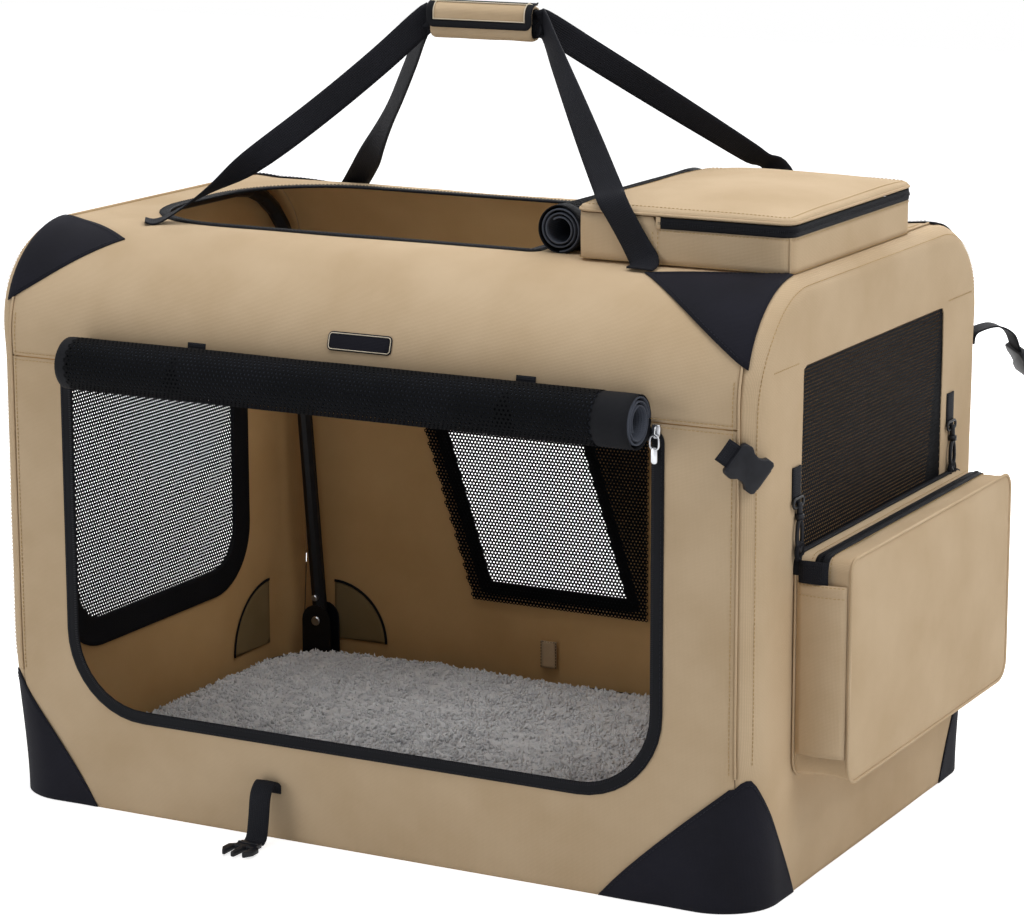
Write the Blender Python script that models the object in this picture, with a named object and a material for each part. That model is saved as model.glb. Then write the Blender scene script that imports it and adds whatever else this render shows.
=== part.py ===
"""Soft folding dog crate, modelled at its real size in metres, +Z up.

A loop of steel tube lies on the floor. Two hoops of the same tube stand on riveted brackets and hold
a sewn cloth cover up. The front is -Y, the length runs along X, and the origin is the centre of the
base. Each object is one piece and one closed body.
"""

import math

import bmesh
import bpy
from mathutils import Matrix, Vector

# Cover, outside
LENGTH = 0.910
DEPTH = 0.610
HEIGHT = 0.636
CLOTH = 0.003
TOP_EDGE_R = 0.120
END_EDGE_R = 0.014
CORNER_HIGH_R = 0.036
CORNER_LOW_R = 0.062
CORNER_BLEND_HEIGHT = 0.200
SEAM_FROM_END = 0.022
SEAM_HEIGHT = 0.500
GAP = 0.0003
OVERRUN = 0.050

# Steel frame
TUBE_R = 0.0095
TUBE_WALL = 0.0012
SLEEVE_WALL = 0.0012
SLEEVE_LENGTH = 0.070
BASE_CORNER_R = 0.070
BASE_CLEARANCE = 0.0006
PIVOT_FROM_MIDDLE = 0.4005
PIVOT_HEIGHT = 0.068
LEG_Y_OUTER_HOOP = 0.281
HOOP_NESTING = 0.0215
LEG_BELOW_PIVOT = 0.018
HOOP_BEND_R = 0.115
HOOP_CLEARANCE = 0.001
BRACKET_SHEET = 0.002
BRACKET_R = 0.020
BRACKET_SIDE_CLEARANCE = 0.0005
RIVET_R = 0.003
RIVET_HEAD_R = 0.006
RIVET_HEAD = 0.002
HOLE_CLEARANCE = 0.0003
BUTTON_ABOVE_PIVOT = 0.029
BUTTON_R = 0.004
BUTTON_FLANGE_R = 0.005
BUTTON_FLANGE = 0.0015
BUTTON_OUT = 0.0035
BUTTON_SEAT_OFFSET = 0.0045

# Mat
MAT_LENGTH = 0.850
MAT_DEPTH = 0.510
MAT_CORNER_R = 0.090
MAT_THICKNESS = 0.040
MAT_DRAW_IN = 0.008

# Front doorway, its binding and the rolled door above it
DOOR_WIDTH = 0.720
DOOR_MIDDLE_X = -0.007
DOOR_SILL = 0.106
DOOR_BELOW_SEAM = 0.006
DOOR_CORNER_R = 0.095
BINDING_WIDTH = 0.013
BINDING_PROUD = 0.001
ROLL_R = 0.027
ROLL_LENGTH = 0.676
ROLL_MIDDLE_X = 0.001
ROLL_ABOVE_SEAM = 0.005
ROLL_SHEET = 0.0028
ROLL_AIR = 0.0016
ROLL_TURNS = 2.6
TIE_WIDTH = 0.020
TIE_SHEET = 0.0012
TIE_LEFT_X = -0.192
TIE_RIGHT_X = 0.200

# Roof opening and its rolled flap
ROOF_HOLE_LEFT = -0.385
ROOF_HOLE_RIGHT = 0.140
ROOF_HOLE_DEPTH = 0.340
ROOF_HOLE_LEFT_R = 0.130
ROOF_HOLE_RIGHT_R = 0.012
ROOF_BINDING_WIDTH = 0.010
ROOF_ROLL_R = 0.0245
ROOF_ROLL_X = 0.1655
ROOF_ROLL_LENGTH = 0.330

# Windows
END_WINDOW_DEPTH = 0.390
END_WINDOW_BOTTOM = 0.300
END_WINDOW_TOP = 0.550
END_WINDOW_R = 0.050
END_WINDOW_OFFSET_Y = -0.005
SIDE_DOOR_DEPTH = 0.400
SIDE_DOOR_BOTTOM = 0.130
SIDE_DOOR_TOP = 0.500
SIDE_DOOR_R = 0.080
SIDE_DOOR_BAND = 0.030
SIDE_DOOR_HEADER = 0.012
REAR_WINDOW_WIDTH = 0.208
REAR_WINDOW_BOTTOM = 0.128
REAR_WINDOW_TOP = 0.480
REAR_WINDOW_LEFT_AT_BOTTOM = -0.178
REAR_WINDOW_LEAN = 0.325
NET = 0.0014

# Corner patches, lengths along the edges from the corner
PATCH_SHEET = 0.0012
PATCH_FOOT_LEFT = 0.120
PATCH_FOOT_RIGHT = 0.172
PATCH_FOOT_END = 0.100
PATCH_FOOT_HEIGHT = 0.150
PATCH_FOOT_HEM = 0.0015
PATCH_TOP_LEFT = 0.095
PATCH_TOP_RIGHT = 0.145
PATCH_TOP_DROP = 0.552
PATCH_TO_CASE = 0.0025

# Storage case on the roof
CASE_LEFT = 0.1995
CASE_RIGHT = 0.4400
CASE_DEPTH = 0.320
CASE_MIDDLE_Y = -0.035
CASE_WALL = 0.003
CASE_TRAY_HEIGHT = 0.038
CASE_ZIP_HEIGHT = 0.011
CASE_LID_THICKNESS = 0.008
CASE_CORNER_R = 0.014
CASE_HINGE_SIDE = 0.090

# Side bag
BAG_THICKNESS = 0.064
BAG_DEPTH = 0.455
BAG_MIDDLE_Y = 0.0125
BAG_BOTTOM = 0.126
BAG_TOP = 0.360
BAG_WALL = 0.003
BAG_CORNER_R = 0.012
BAG_STAND_OFF = 0.0003
BAG_SLIT = 0.009
BAG_SLIT_LENGTH = 0.400
TAB_WIDTH = 0.020
TAB_SHEET = 0.003
TAB_FRONT_Y = -0.212
TAB_REAR_Y = 0.212
TAB_TOP = 0.448
HOOK_TOP = 0.420
HOOK_WIDTH = 0.022
HOOK_BAR = 0.005
HOOK_SHEET = 0.004

# Carrying straps and grip
STRAP_WIDTH = 0.030
STRAP_SHEET = 0.002
STRAP_FOOT_Y_FRONT = -0.178
STRAP_FOOT_Y_REAR = 0.236
STRAP_FOOT_LEFT = -0.318
STRAP_FOOT_FRONT_RIGHT = 0.276
STRAP_FOOT_REAR_RIGHT = 0.335
STRAP_SAG = 0.012
STRAP_PAD = 0.018
STRAP_LIFT = 0.0026
STRAP_STAND_OFF = 0.0015
STRAP_STEPS = 6
GRIP_LENGTH = 0.124
GRIP_CENTRE_Y = -0.020
GRIP_CENTRE_Z = 0.856
GRIP_HEIGHT = 0.038
GRIP_THICKNESS = 0.024
GRIP_CORNER_R = 0.009
GRIP_PLAY = 0.0004
GRIP_FLAP_SHEET = 0.0025
GRIP_FLAP_SHARE = 0.62

# Folding straps, buckles and zip
FOLD_STRAP_WIDTH = 0.025
FOLD_STRAP_SHEET = 0.002
FOLD_STRAP_X = -0.109
FOLD_STRAP_ROOT = 0.060
FOLD_STRAP_LENGTH = 0.040
FOLD_STRAP_SHARES = [(0.026, 0.86), (0.03, 1.0), (0.26, 1.1), (0.54, 0.92), (0.66, 0.5), (0.76, 0.2),
                     (0.9, 0.1), (1, 0.1)]
REAR_STRAP_LENGTH = 0.060
REAR_STRAP_SHARES = [(0, 0, -0.2), (0.05, 0.05, 0.0), (0.30, 0.42, 0.08), (0.48, 0.80, -0.10),
                     (0.55, 1.0, -0.42)]
PLUG_THICKNESS = 0.006
PLUG_SHARES = [(-0.66, 0), (0.66, 0), (0.66, 0.30), (1.0, 0.42), (1.0, 0.72), (0.72, 0.95), (0.56, 0.95),
               (0.56, 0.45), (0.18, 0.42), (0.12, 1.0), (-0.12, 1.0), (-0.18, 0.42), (-0.56, 0.45),
               (-0.56, 0.95), (-0.72, 0.95), (-1.0, 0.72), (-1.0, 0.42), (-0.66, 0.30)]
BUCKLE_WIDTH = 0.038
BUCKLE_LENGTH = 0.040
BUCKLE_THICKNESS = 0.010
BUCKLE_HEIGHT = 0.503
ZIP_BODY_WIDTH = 0.010
ZIP_BODY_HEIGHT = 0.014
ZIP_BODY_THICKNESS = 0.004
ZIP_PULL_LENGTH = 0.024
ZIP_TOP = 0.470
LABEL_WIDTH = 0.076
LABEL_HEIGHT = 0.019
LABEL_X = 0.005
LABEL_ABOVE_SEAM = 0.0495

# How finely round shapes are cut
CORNER_STEPS = 5
TOP_STEPS = 9
BEND_STEPS = 6
TUBE_SIDES = 10
PIN_SIDES = 12

HALF_X = LENGTH / 2
HALF_Y = DEPTH / 2
SEAM_X = HALF_X - SEAM_FROM_END
BASE_Z = CLOTH + GAP + TUBE_R + GAP + SLEEVE_WALL
BASE_X = HALF_X - CLOTH - BASE_CLEARANCE - TUBE_R
BASE_Y = HALF_Y - CLOTH - BASE_CLEARANCE - TUBE_R - GAP - SLEEVE_WALL
FRONT_PLANE = -HALF_Y
DOOR_TOP = SEAM_HEIGHT - DOOR_BELOW_SEAM
ROLL_HEIGHT = SEAM_HEIGHT + ROLL_ABOVE_SEAM
LABEL_MIDDLE_Z = SEAM_HEIGHT + LABEL_ABOVE_SEAM
PATCH_TOP_Y = CASE_DEPTH / 2 - CASE_MIDDLE_Y + PATCH_TO_CASE
ROOF_Z = HEIGHT + GAP

# name: (colour, roughness, metallic)
FINISHES = {
    "tan_cloth": ((0.56, 0.43, 0.28), 0.85, 0.0),
    "black_cloth": ((0.012, 0.013, 0.018), 0.80, 0.0),
    "black_webbing": ((0.010, 0.010, 0.012), 0.75, 0.0),
    "black_net": ((0.015, 0.015, 0.018), 0.70, 0.0),
    "black_steel": ((0.020, 0.020, 0.022), 0.35, 0.0),
    "bright_steel": ((0.55, 0.55, 0.56), 0.30, 1.0),
    "black_plastic": ((0.012, 0.012, 0.014), 0.40, 0.0),
    "white_fleece": ((0.78, 0.78, 0.80), 0.95, 0.0),
}


def clear_scene():
    for old in list(bpy.data.objects):
        bpy.data.objects.remove(old, do_unlink=True)


def material(name):
    found = bpy.data.materials.get(name)
    if found:
        return found
    colour, roughness, metallic = FINISHES[name]
    made = bpy.data.materials.new(name)
    made.use_nodes = True
    shader = made.node_tree.nodes["Principled BSDF"]
    shader.inputs["Base Color"].default_value = (*colour, 1.0)
    shader.inputs["Roughness"].default_value = roughness
    shader.inputs["Metallic"].default_value = metallic
    return made


def mesh_object(name, points, faces, finish=None):
    """An object from points and faces, its normals turned outwards."""
    bm = bmesh.new()
    corners = [bm.verts.new(p) for p in points]
    for face in faces:
        bm.faces.new([corners[i] for i in face])
    bmesh.ops.recalc_face_normals(bm, faces=bm.faces)
    mesh = bpy.data.meshes.new(name)
    bm.to_mesh(mesh)
    bm.free()
    made = bpy.data.objects.new(name, mesh)
    bpy.context.collection.objects.link(made)
    if finish:
        mesh.materials.append(material(finish))
    return made


def smooth(piece, degrees=35):
    piece.data.shade_smooth()
    piece.data.set_sharp_from_angle(angle=math.radians(degrees))


def bake(piece, tools):
    """Turn the live modifiers of a piece into its mesh, and drop the cutters they used."""
    bpy.context.view_layer.update()
    evaluated = piece.evaluated_get(bpy.context.evaluated_depsgraph_get())
    mesh = bpy.data.meshes.new_from_object(evaluated)
    piece.modifiers.clear()
    piece.data = mesh
    for tool in tools:
        bpy.data.objects.remove(tool, do_unlink=True)


def combine(piece, operation, *tools):
    """One exact Boolean for each tool, in order."""
    for tool in tools:
        step = piece.modifiers.new(operation.lower(), "BOOLEAN")
        step.operation = operation
        step.solver = "EXACT"
        step.object = tool
    bake(piece, tools)
    return piece


def cut(piece, *tools):
    return combine(piece, "DIFFERENCE", *tools)


def keep_inside(piece, *tools):
    return combine(piece, "INTERSECT", *tools)


def join(piece, *tools):
    return combine(piece, "UNION", *tools)


def block(name, low, high, finish=None):
    points = [(x, y, z) for x in (low[0], high[0]) for y in (low[1], high[1]) for z in (low[2], high[2])]
    faces = [(0, 1, 3, 2), (4, 6, 7, 5), (0, 4, 5, 1), (2, 3, 7, 6), (0, 2, 6, 4), (1, 5, 7, 3)]
    return mesh_object(name, points, faces, finish)


def place(axis, u, v, along):
    """A point from outline coordinates (u, v) and its place along the axis they are square to."""
    return {"X": (along, u, v), "Y": (u, along, v), "Z": (u, v, along)}[axis]


def prism(name, outline, low, high, axis, finish=None):
    """An outline pushed along an axis from low to high."""
    n = len(outline)
    points = [place(axis, u, v, low) for u, v in outline] + [place(axis, u, v, high) for u, v in outline]
    faces = [(i, (i + 1) % n, n + (i + 1) % n, n + i) for i in range(n)]
    faces += [tuple(range(n)), tuple(range(n, 2 * n))]
    return mesh_object(name, points, faces, finish)


def arc(centre, radius, start, end, steps):
    """Points of an arc in degrees, both ends included."""
    turns = [math.radians(start + (end - start) * i / steps) for i in range(steps + 1)]
    return [(centre[0] + radius * math.cos(t), centre[1] + radius * math.sin(t)) for t in turns]


def rounded(low, high, radii, steps=CORNER_STEPS):
    """A rounded rectangle, its radii in the order low-low, high-low, high-high, low-high."""
    (u0, v0), (u1, v1) = low, high
    corners = [(u0, v0, 1, 1, 180), (u1, v0, -1, 1, 270), (u1, v1, -1, -1, 0), (u0, v1, 1, -1, 90)]
    outline = []
    for (u, v, su, sv, start), r in zip(corners, radii):
        if r > 0:
            outline += arc((u + su * r, v + sv * r), r, start, start + 90, steps)
        else:
            outline.append((u, v))
    return outline


def stacked(name, rings, finish=None):
    """A solid through closed rings of equally many points, closed flat at both ends."""
    n = len(rings[0])
    points = [p for ring in rings for p in ring]
    faces = [tuple(range(n)), tuple(range(len(points) - n, len(points)))]
    for k in range(len(rings) - 1):
        a, b = k * n, (k + 1) * n
        faces += [(a + i, a + (i + 1) % n, b + (i + 1) % n, b + i) for i in range(n)]
    return mesh_object(name, points, faces, finish)


def corner_radius(z):
    """The cover's upright corners are wide at the floor and close up as they rise."""
    share = min(max(z / CORNER_BLEND_HEIGHT, 0), 1)
    ease = share * share * (3 - 2 * share)
    return CORNER_LOW_R + (CORNER_HIGH_R - CORNER_LOW_R) * ease


def plan(z, half_x, half_y, radius):
    return [(u, v, z) for u, v in rounded((-half_x, -half_y), (half_x, half_y), [radius] * 4)]


def cover_solid(name, inset, bottom=0.0):
    """The whole cover as one solid, drawn in by inset, or swelled where inset is below zero."""
    straight = HEIGHT - TOP_EDGE_R
    heights = [bottom] + [straight * share for share in (0.08, 0.16, 0.26, 0.38, 0.7, 1.0)]
    rings = [plan(z, HALF_X - inset, HALF_Y - inset, corner_radius(z) - inset) for z in heights]
    for k in range(1, TOP_STEPS + 1):
        turn = math.radians(90 * k / TOP_STEPS)
        z = straight + (TOP_EDGE_R - inset) * math.sin(turn)
        half_y = HALF_Y - TOP_EDGE_R + (TOP_EDGE_R - inset) * math.cos(turn)
        rise = max(z - (HEIGHT - END_EDGE_R), 0)
        half_x = HALF_X - END_EDGE_R + math.sqrt(max((END_EDGE_R - inset) ** 2 - rise**2, 0))
        rings.append(plan(z, half_x, half_y, CORNER_HIGH_R - inset))
    return stacked(name, rings)


def cover_part(name, low, high, *holes):
    """The stretch of the cover's wall inside a box, with its openings cut out."""
    part = keep_inside(cover_solid(name, 0), block("region", low, high))
    cut(part, cover_solid("inside", CLOTH, -OVERRUN), *holes)
    part.data.materials.clear()
    part.data.materials.append(material("tan_cloth"))
    smooth(part)
    return part


def overlay(name, region, finish):
    """A thin layer laid on the cover, as far as the region reaches."""
    layer = keep_inside(cover_solid(name, -GAP - PATCH_SHEET), region)
    cut(layer, cover_solid("under", -GAP, -OVERRUN))
    layer.data.materials.clear()
    layer.data.materials.append(material(finish))
    smooth(layer)
    return layer


def hull(name, points):
    bm = bmesh.new()
    for p in points:
        bm.verts.new(p)
    bmesh.ops.convex_hull(bm, input=bm.verts)
    mesh = bpy.data.meshes.new(name)
    bm.to_mesh(mesh)
    bm.free()
    made = bpy.data.objects.new(name, mesh)
    bpy.context.collection.objects.link(made)
    return made


def side_frames(path):
    """At each point of a path, its direction and two directions square to it, with no twist."""
    frames = []
    across = None
    for i, p in enumerate(path):
        ahead = (path[min(i + 1, len(path) - 1)] - path[max(i - 1, 0)]).normalized()
        if across is None:
            start = Vector((0, 0, 1)) if abs(ahead.z) < math.sqrt(0.5) else Vector((1, 0, 0))
            across = ahead.cross(start).normalized()
        across = (across - ahead * across.dot(ahead)).normalized()
        frames.append((p, across, ahead.cross(across)))
    return frames


def tube(name, path, radius, wall, finish):
    """A hollow tube along a path, open at both ends."""
    rings = []
    for p, a, b in side_frames(path):
        for r in (radius, radius - wall):
            turns = [math.tau * i / TUBE_SIDES for i in range(TUBE_SIDES)]
            rings.append([p + a * (r * math.cos(t)) + b * (r * math.sin(t)) for t in turns])
    n, count = TUBE_SIDES, len(path)
    points = [p for ring in rings for p in ring]
    faces = []
    for k in range(count - 1):
        for layer in (0, 1):
            here, there = (2 * k + layer) * n, (2 * k + 2 + layer) * n
            faces += [(here + i, here + (i + 1) % n, there + (i + 1) % n, there + i) for i in range(n)]
    for k in (0, count - 1):
        outer, inner = 2 * k * n, (2 * k + 1) * n
        faces += [(outer + i, outer + (i + 1) % n, inner + (i + 1) % n, inner + i) for i in range(n)]
    made = mesh_object(name, points, faces, finish)
    smooth(made)
    return made


def turned(name, start, direction, profile, finish=None):
    """A round pin about a line: the profile gives (distance along it, radius)."""
    ahead = Vector(direction).normalized()
    a = ahead.orthogonal().normalized()
    b = ahead.cross(a)
    turns = [math.tau * i / PIN_SIDES for i in range(PIN_SIDES)]
    rings = []
    for along, r in profile:
        middle = Vector(start) + ahead * along
        rings.append([middle + a * (r * math.cos(t)) + b * (r * math.sin(t)) for t in turns])
    return stacked(name, rings, finish)


def ribbon(name, path, widths, width, sheet, finish, kept=()):
    """A flat band along a path: widths gives the direction across it at each point.

    Both faces are split along the same diagonal, so that a twisted band keeps its thickness.
    The points in kept hold their direction as given, and the others turn square to the path.
    """
    rings = []
    for i, p in enumerate(path):
        ahead = (path[min(i + 1, len(path) - 1)] - path[max(i - 1, 0)]).normalized()
        across = widths[i] if i in kept else widths[i] - ahead * widths[i].dot(ahead)
        across = across.normalized() * (width / 2)
        normal = ahead.cross(across).normalized() * (sheet / 2)
        rings.append([p - across - normal, p + across - normal, p + across + normal, p - across + normal])
    points = [p for ring in rings for p in ring]
    last = len(points) - 4
    faces = [(0, 1, 2), (0, 2, 3), (last, last + 1, last + 2), (last, last + 2, last + 3)]
    for a in range(0, last, 4):
        for i, j in ((0, 1), (1, 2)):
            faces += [(a + i, a + j, a + 4 + j), (a + i, a + 4 + j, a + 4 + i)]
        for i, j in ((2, 3), (3, 0)):
            faces += [(a + i, a + j, a + 4 + i), (a + j, a + 4 + j, a + 4 + i)]
    return mesh_object(name, points, faces, finish)


def base_tubes():
    """The floor loop: two halves, joined in a sleeve at the front and at the rear."""
    for side, name in ((-1, "base_tube_left"), (1, "base_tube_right")):
        edge, r = side * BASE_X, BASE_CORNER_R
        path = [(side * GAP, -BASE_Y)]
        bend = arc((0, 0), 1, 90, 0, BEND_STEPS)
        path += [(edge - side * r * (1 - u), -BASE_Y + r * (1 - v)) for u, v in bend]
        path += [(x, -y) for x, y in reversed(path)]
        tube(name, [Vector((x, y, BASE_Z)) for x, y in path], TUBE_R, TUBE_WALL, "black_steel")
    for side, name in ((-1, "base_sleeve_front"), (1, "base_sleeve_rear")):
        ends = [Vector((x * SLEEVE_LENGTH / 2, side * BASE_Y, BASE_Z)) for x in (-1, 1)]
        tube(name, ends, TUBE_R + GAP + SLEEVE_WALL, SLEEVE_WALL, "black_steel")


def hoop_point(side, y, along):
    """A point of a hoop, along its leaning legs from the pivot."""
    top = HEIGHT - CLOTH - HOOP_CLEARANCE - TUBE_R
    top_x = HALF_X - CLOTH - HOOP_CLEARANCE - TUBE_R
    lean = math.atan2(top_x - PIVOT_FROM_MIDDLE, top - PIVOT_HEIGHT)
    x = PIVOT_FROM_MIDDLE + along * math.sin(lean)
    return Vector((side * x, y, PIVOT_HEIGHT + along * math.cos(lean)))


def hoop_reach():
    top = HEIGHT - CLOTH - HOOP_CLEARANCE - TUBE_R
    top_x = HALF_X - CLOTH - HOOP_CLEARANCE - TUBE_R
    return math.hypot(top_x - PIVOT_FROM_MIDDLE, top - PIVOT_HEIGHT)


def end_hoop(side, name, leg_y, mark):
    """One end hoop, and at each foot its bracket, its pivot rivet and its spring button."""
    reach, r = hoop_reach(), HOOP_BEND_R
    half = [(-leg_y, -LEG_BELOW_PIVOT)]
    half += [(-leg_y + r * (1 - u), reach - r * (1 - v)) for u, v in arc((0, 0), 1, 0, 90, BEND_STEPS)]
    flat = half + [(-y, along) for y, along in reversed(half)]
    hoop = tube(name, [hoop_point(side, y, along) for y, along in flat], TUBE_R, TUBE_WALL, "black_steel")
    up = (hoop_point(side, 0, 1) - hoop_point(side, 0, 0)).normalized()
    drills = []
    for end, letter in ((-1, "front"), (1, "rear")):
        foot = Vector((side * PIVOT_FROM_MIDDLE, end * leg_y, PIVOT_HEIGHT))
        drill = RIVET_R + HOLE_CLEARANCE
        start = foot - Vector((0, 2 * TUBE_R, 0))
        drills.append(turned("drill", start, (0, 1, 0), [(0, drill), (4 * TUBE_R, drill)]))
        seat = foot + up * BUTTON_ABOVE_PIVOT
        drill = BUTTON_R + HOLE_CLEARANCE
        drills.append(turned("drill", seat, (0, -end, 0), [(0, drill), (2 * TUBE_R, drill)]))
        button(f"lock_button_{mark}_{letter}", seat, end)
        bracket(f"foot_bracket_{mark}_{letter}", f"pivot_rivet_{mark}_{letter}", foot, end)
    cut(hoop, *drills)
    smooth(hoop)


def button(name, seat, end):
    """A spring button whose flange sits in the tube and whose tip stands out of its inner side."""
    tip = TUBE_R + BUTTON_OUT
    start, neck, dome = BUTTON_SEAT_OFFSET, BUTTON_SEAT_OFFSET + BUTTON_FLANGE, BUTTON_R / 4
    profile = [(start, BUTTON_FLANGE_R), (neck, BUTTON_FLANGE_R), (neck, BUTTON_R)]
    profile += [(tip - dome, BUTTON_R), (tip, BUTTON_R - dome)]
    smooth(turned(name, seat, (0, -end, 0), profile, "bright_steel"))


def bracket(name, rivet_name, foot, end):
    """A folded bracket on the base tube, its two cheeks on either side of the leg."""
    bottom = BASE_Z + TUBE_R + GAP
    near = TUBE_R + BRACKET_SIDE_CLEARANCE
    far = near + BRACKET_SHEET
    x, y, z = foot
    cheek = [(x - BRACKET_R, bottom), (x + BRACKET_R, bottom)]
    cheek += arc((x, z), BRACKET_R, 0, 180, 2 * CORNER_STEPS)
    made = prism(name, cheek, y - far, y + far, "Y", "black_steel")
    slot_low = (x - OVERRUN, y - near, bottom + BRACKET_SHEET)
    slot = block("slot", slot_low, (x + OVERRUN, y + near, z + OVERRUN))
    hole = RIVET_R + HOLE_CLEARANCE
    drill = turned("drill", (x, y - OVERRUN, z), (0, 1, 0), [(0, hole), (2 * OVERRUN, hole)])
    cut(made, slot, drill)
    reach = abs(y) + far
    if reach < BASE_Y:
        inner, outer = sorted((end * (reach - BRACKET_SHEET), end * BASE_Y))
        pad = block("pad", (x - BRACKET_R, inner, bottom), (x + BRACKET_R, outer, bottom + BRACKET_SHEET))
        join(made, pad)
    smooth(made)
    out, head = far + GAP, RIVET_HEAD
    profile = [(-out - head, RIVET_HEAD_R - head / 2), (-out - head / 2, RIVET_HEAD_R), (-out, RIVET_HEAD_R)]
    profile += [(-out, RIVET_R), (out, RIVET_R)]
    profile += [(-along, r) for along, r in reversed(profile[:3])]
    smooth(turned(rivet_name, foot, (0, 1, 0), profile, "bright_steel"))


def fleece_mat():
    """A plush pad with a low crown and drawn-in sides."""
    bottom = CLOTH + GAP
    rows = [(0, MAT_DRAW_IN), (0.35, 0), (0.7, MAT_DRAW_IN / 4), (0.93, MAT_DRAW_IN), (1, 3 * MAT_DRAW_IN)]
    rings = []
    for share, inset in rows:
        z = bottom + share * MAT_THICKNESS
        rings.append(plan(z, MAT_LENGTH / 2 - inset, MAT_DEPTH / 2 - inset, MAT_CORNER_R - inset))
    smooth(stacked("fleece_mat", rings, "white_fleece"), 60)


def door_outline(inset):
    """The front doorway, in (x, z), drawn in by inset."""
    half = DOOR_WIDTH / 2 - inset
    low, high = (DOOR_MIDDLE_X - half, DOOR_SILL + inset), (DOOR_MIDDLE_X + half, DOOR_TOP - inset)
    r = DOOR_CORNER_R - inset
    return rounded(low, high, [r, r, CORNER_HIGH_R - inset, CORNER_HIGH_R - inset])


def roof_outline(inset):
    """The roof opening, in (x, y), drawn in by inset."""
    low = (ROOF_HOLE_LEFT + inset, -ROOF_HOLE_DEPTH / 2 + inset)
    high = (ROOF_HOLE_RIGHT - inset, ROOF_HOLE_DEPTH / 2 - inset)
    wide, small = ROOF_HOLE_LEFT_R - inset, max(ROOF_HOLE_RIGHT_R - inset, GAP)
    return rounded(low, high, [wide, small, small, wide])


def end_window_outline(inset):
    half = END_WINDOW_DEPTH / 2 - inset
    low = (END_WINDOW_OFFSET_Y - half, END_WINDOW_BOTTOM + inset)
    high = (END_WINDOW_OFFSET_Y + half, END_WINDOW_TOP - inset)
    r = END_WINDOW_R - inset
    return rounded(low, high, [r, r, 0, 0])


def side_door_outline(inset):
    half = SIDE_DOOR_DEPTH / 2 - inset
    r = SIDE_DOOR_R - inset
    return rounded((-half, SIDE_DOOR_BOTTOM + inset), (half, SIDE_DOOR_TOP - inset), [r, r, 0, 0])


def rear_window_outline(inset):
    """A window that leans over: its sides run up and to the left."""
    low, high = REAR_WINDOW_BOTTOM + inset, REAR_WINDOW_TOP - inset
    left, right = REAR_WINDOW_LEFT_AT_BOTTOM + inset, REAR_WINDOW_LEFT_AT_BOTTOM + REAR_WINDOW_WIDTH - inset
    shift_low, shift_high = inset * REAR_WINDOW_LEAN, (high - REAR_WINDOW_BOTTOM) * REAR_WINDOW_LEAN
    lower = [(left - shift_low, low), (right - shift_low, low)]
    return lower + [(right - shift_high, high), (left - shift_high, high)]


def through_front(outline):
    return prism("hole", outline, -HALF_Y - OVERRUN, -HALF_Y + OVERRUN, "Y")


def cover_walls():
    """The cover's six sewn walls, cut apart at their seams."""
    side, top = SEAM_X - GAP, SEAM_HEIGHT - GAP
    hole = through_front(door_outline(0))
    cover_part("front_wall", (-side, -HALF_Y - OVERRUN, -OVERRUN), (side, -HALF_Y / 2, top), hole)
    hole = prism("hole", rear_window_outline(0), HALF_Y - OVERRUN, HALF_Y + OVERRUN, "Y")
    cover_part("rear_wall", (-side, HALF_Y / 2, -OVERRUN), (side, HALF_Y + OVERRUN, top), hole)
    hole = prism("hole", roof_outline(0), HEIGHT - OVERRUN, HEIGHT + OVERRUN, "Z")
    low, high = (-side, -HALF_Y - OVERRUN, SEAM_HEIGHT + GAP), (side, HALF_Y + OVERRUN, HEIGHT + OVERRUN)
    cover_part("roof_wall", low, high, hole)
    far, tall = HALF_X + OVERRUN, HEIGHT + OVERRUN
    hole = prism("hole", end_window_outline(0), HALF_X - OVERRUN, far, "X")
    cover_part("right_wall", (SEAM_X + GAP, -far, -OVERRUN), (far, far, tall), hole)
    hole = prism("hole", side_door_outline(0), -far, -HALF_X + OVERRUN, "X")
    cover_part("left_wall", (-far, -far, -OVERRUN), (-SEAM_X - GAP, far, tall), hole)
    inset = CLOTH + GAP
    ring = plan(0, HALF_X - inset, HALF_Y - inset, CORNER_LOW_R - inset)
    prism("floor_board", [(u, v) for u, v, z in ring], 0, CLOTH, "Z", "tan_cloth")


def nets():
    """The net in the end window, in the rear window and in the door of the left end."""
    inner = HALF_X - CLOTH / 2 - NET / 2
    prism("right_window_net", end_window_outline(GAP), inner, inner + NET, "X", "black_net")
    door = prism("left_door", side_door_outline(GAP), -HALF_X, -HALF_X + CLOTH, "X", "black_net")
    cut(door, prism("hole", side_door_outline(SIDE_DOOR_BAND), -HALF_X - OVERRUN, -HALF_X + OVERRUN, "X"))
    join(door, prism("net", side_door_outline(SIDE_DOOR_BAND / 2), -inner - NET, -inner, "X"))
    half, outer = SIDE_DOOR_DEPTH / 2, -HALF_X - GAP
    low = (outer - TIE_SHEET, -half, SIDE_DOOR_TOP)
    block("left_door_header", low, (outer, half, SIDE_DOOR_TOP + SIDE_DOOR_HEADER), "black_cloth")
    inner = HALF_Y - CLOTH / 2 - NET / 2
    prism("rear_window_net", rear_window_outline(GAP), inner, inner + NET, "Y", "black_net")


def bindings():
    """The black zip tape round the front doorway and round the roof opening."""
    front, back = FRONT_PLANE - BINDING_PROUD, FRONT_PLANE + CLOTH
    tape = prism("doorway_zip_tape", door_outline(GAP), front, back, "Y", "black_cloth")
    cut(tape, through_front(door_outline(BINDING_WIDTH)))
    tape = prism("roof_zip_tape", roof_outline(GAP), HEIGHT - CLOTH, HEIGHT, "Z", "black_cloth")
    cut(tape, prism("hole", roof_outline(ROOF_BINDING_WIDTH), HEIGHT - OVERRUN, HEIGHT + OVERRUN, "Z"))


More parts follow.
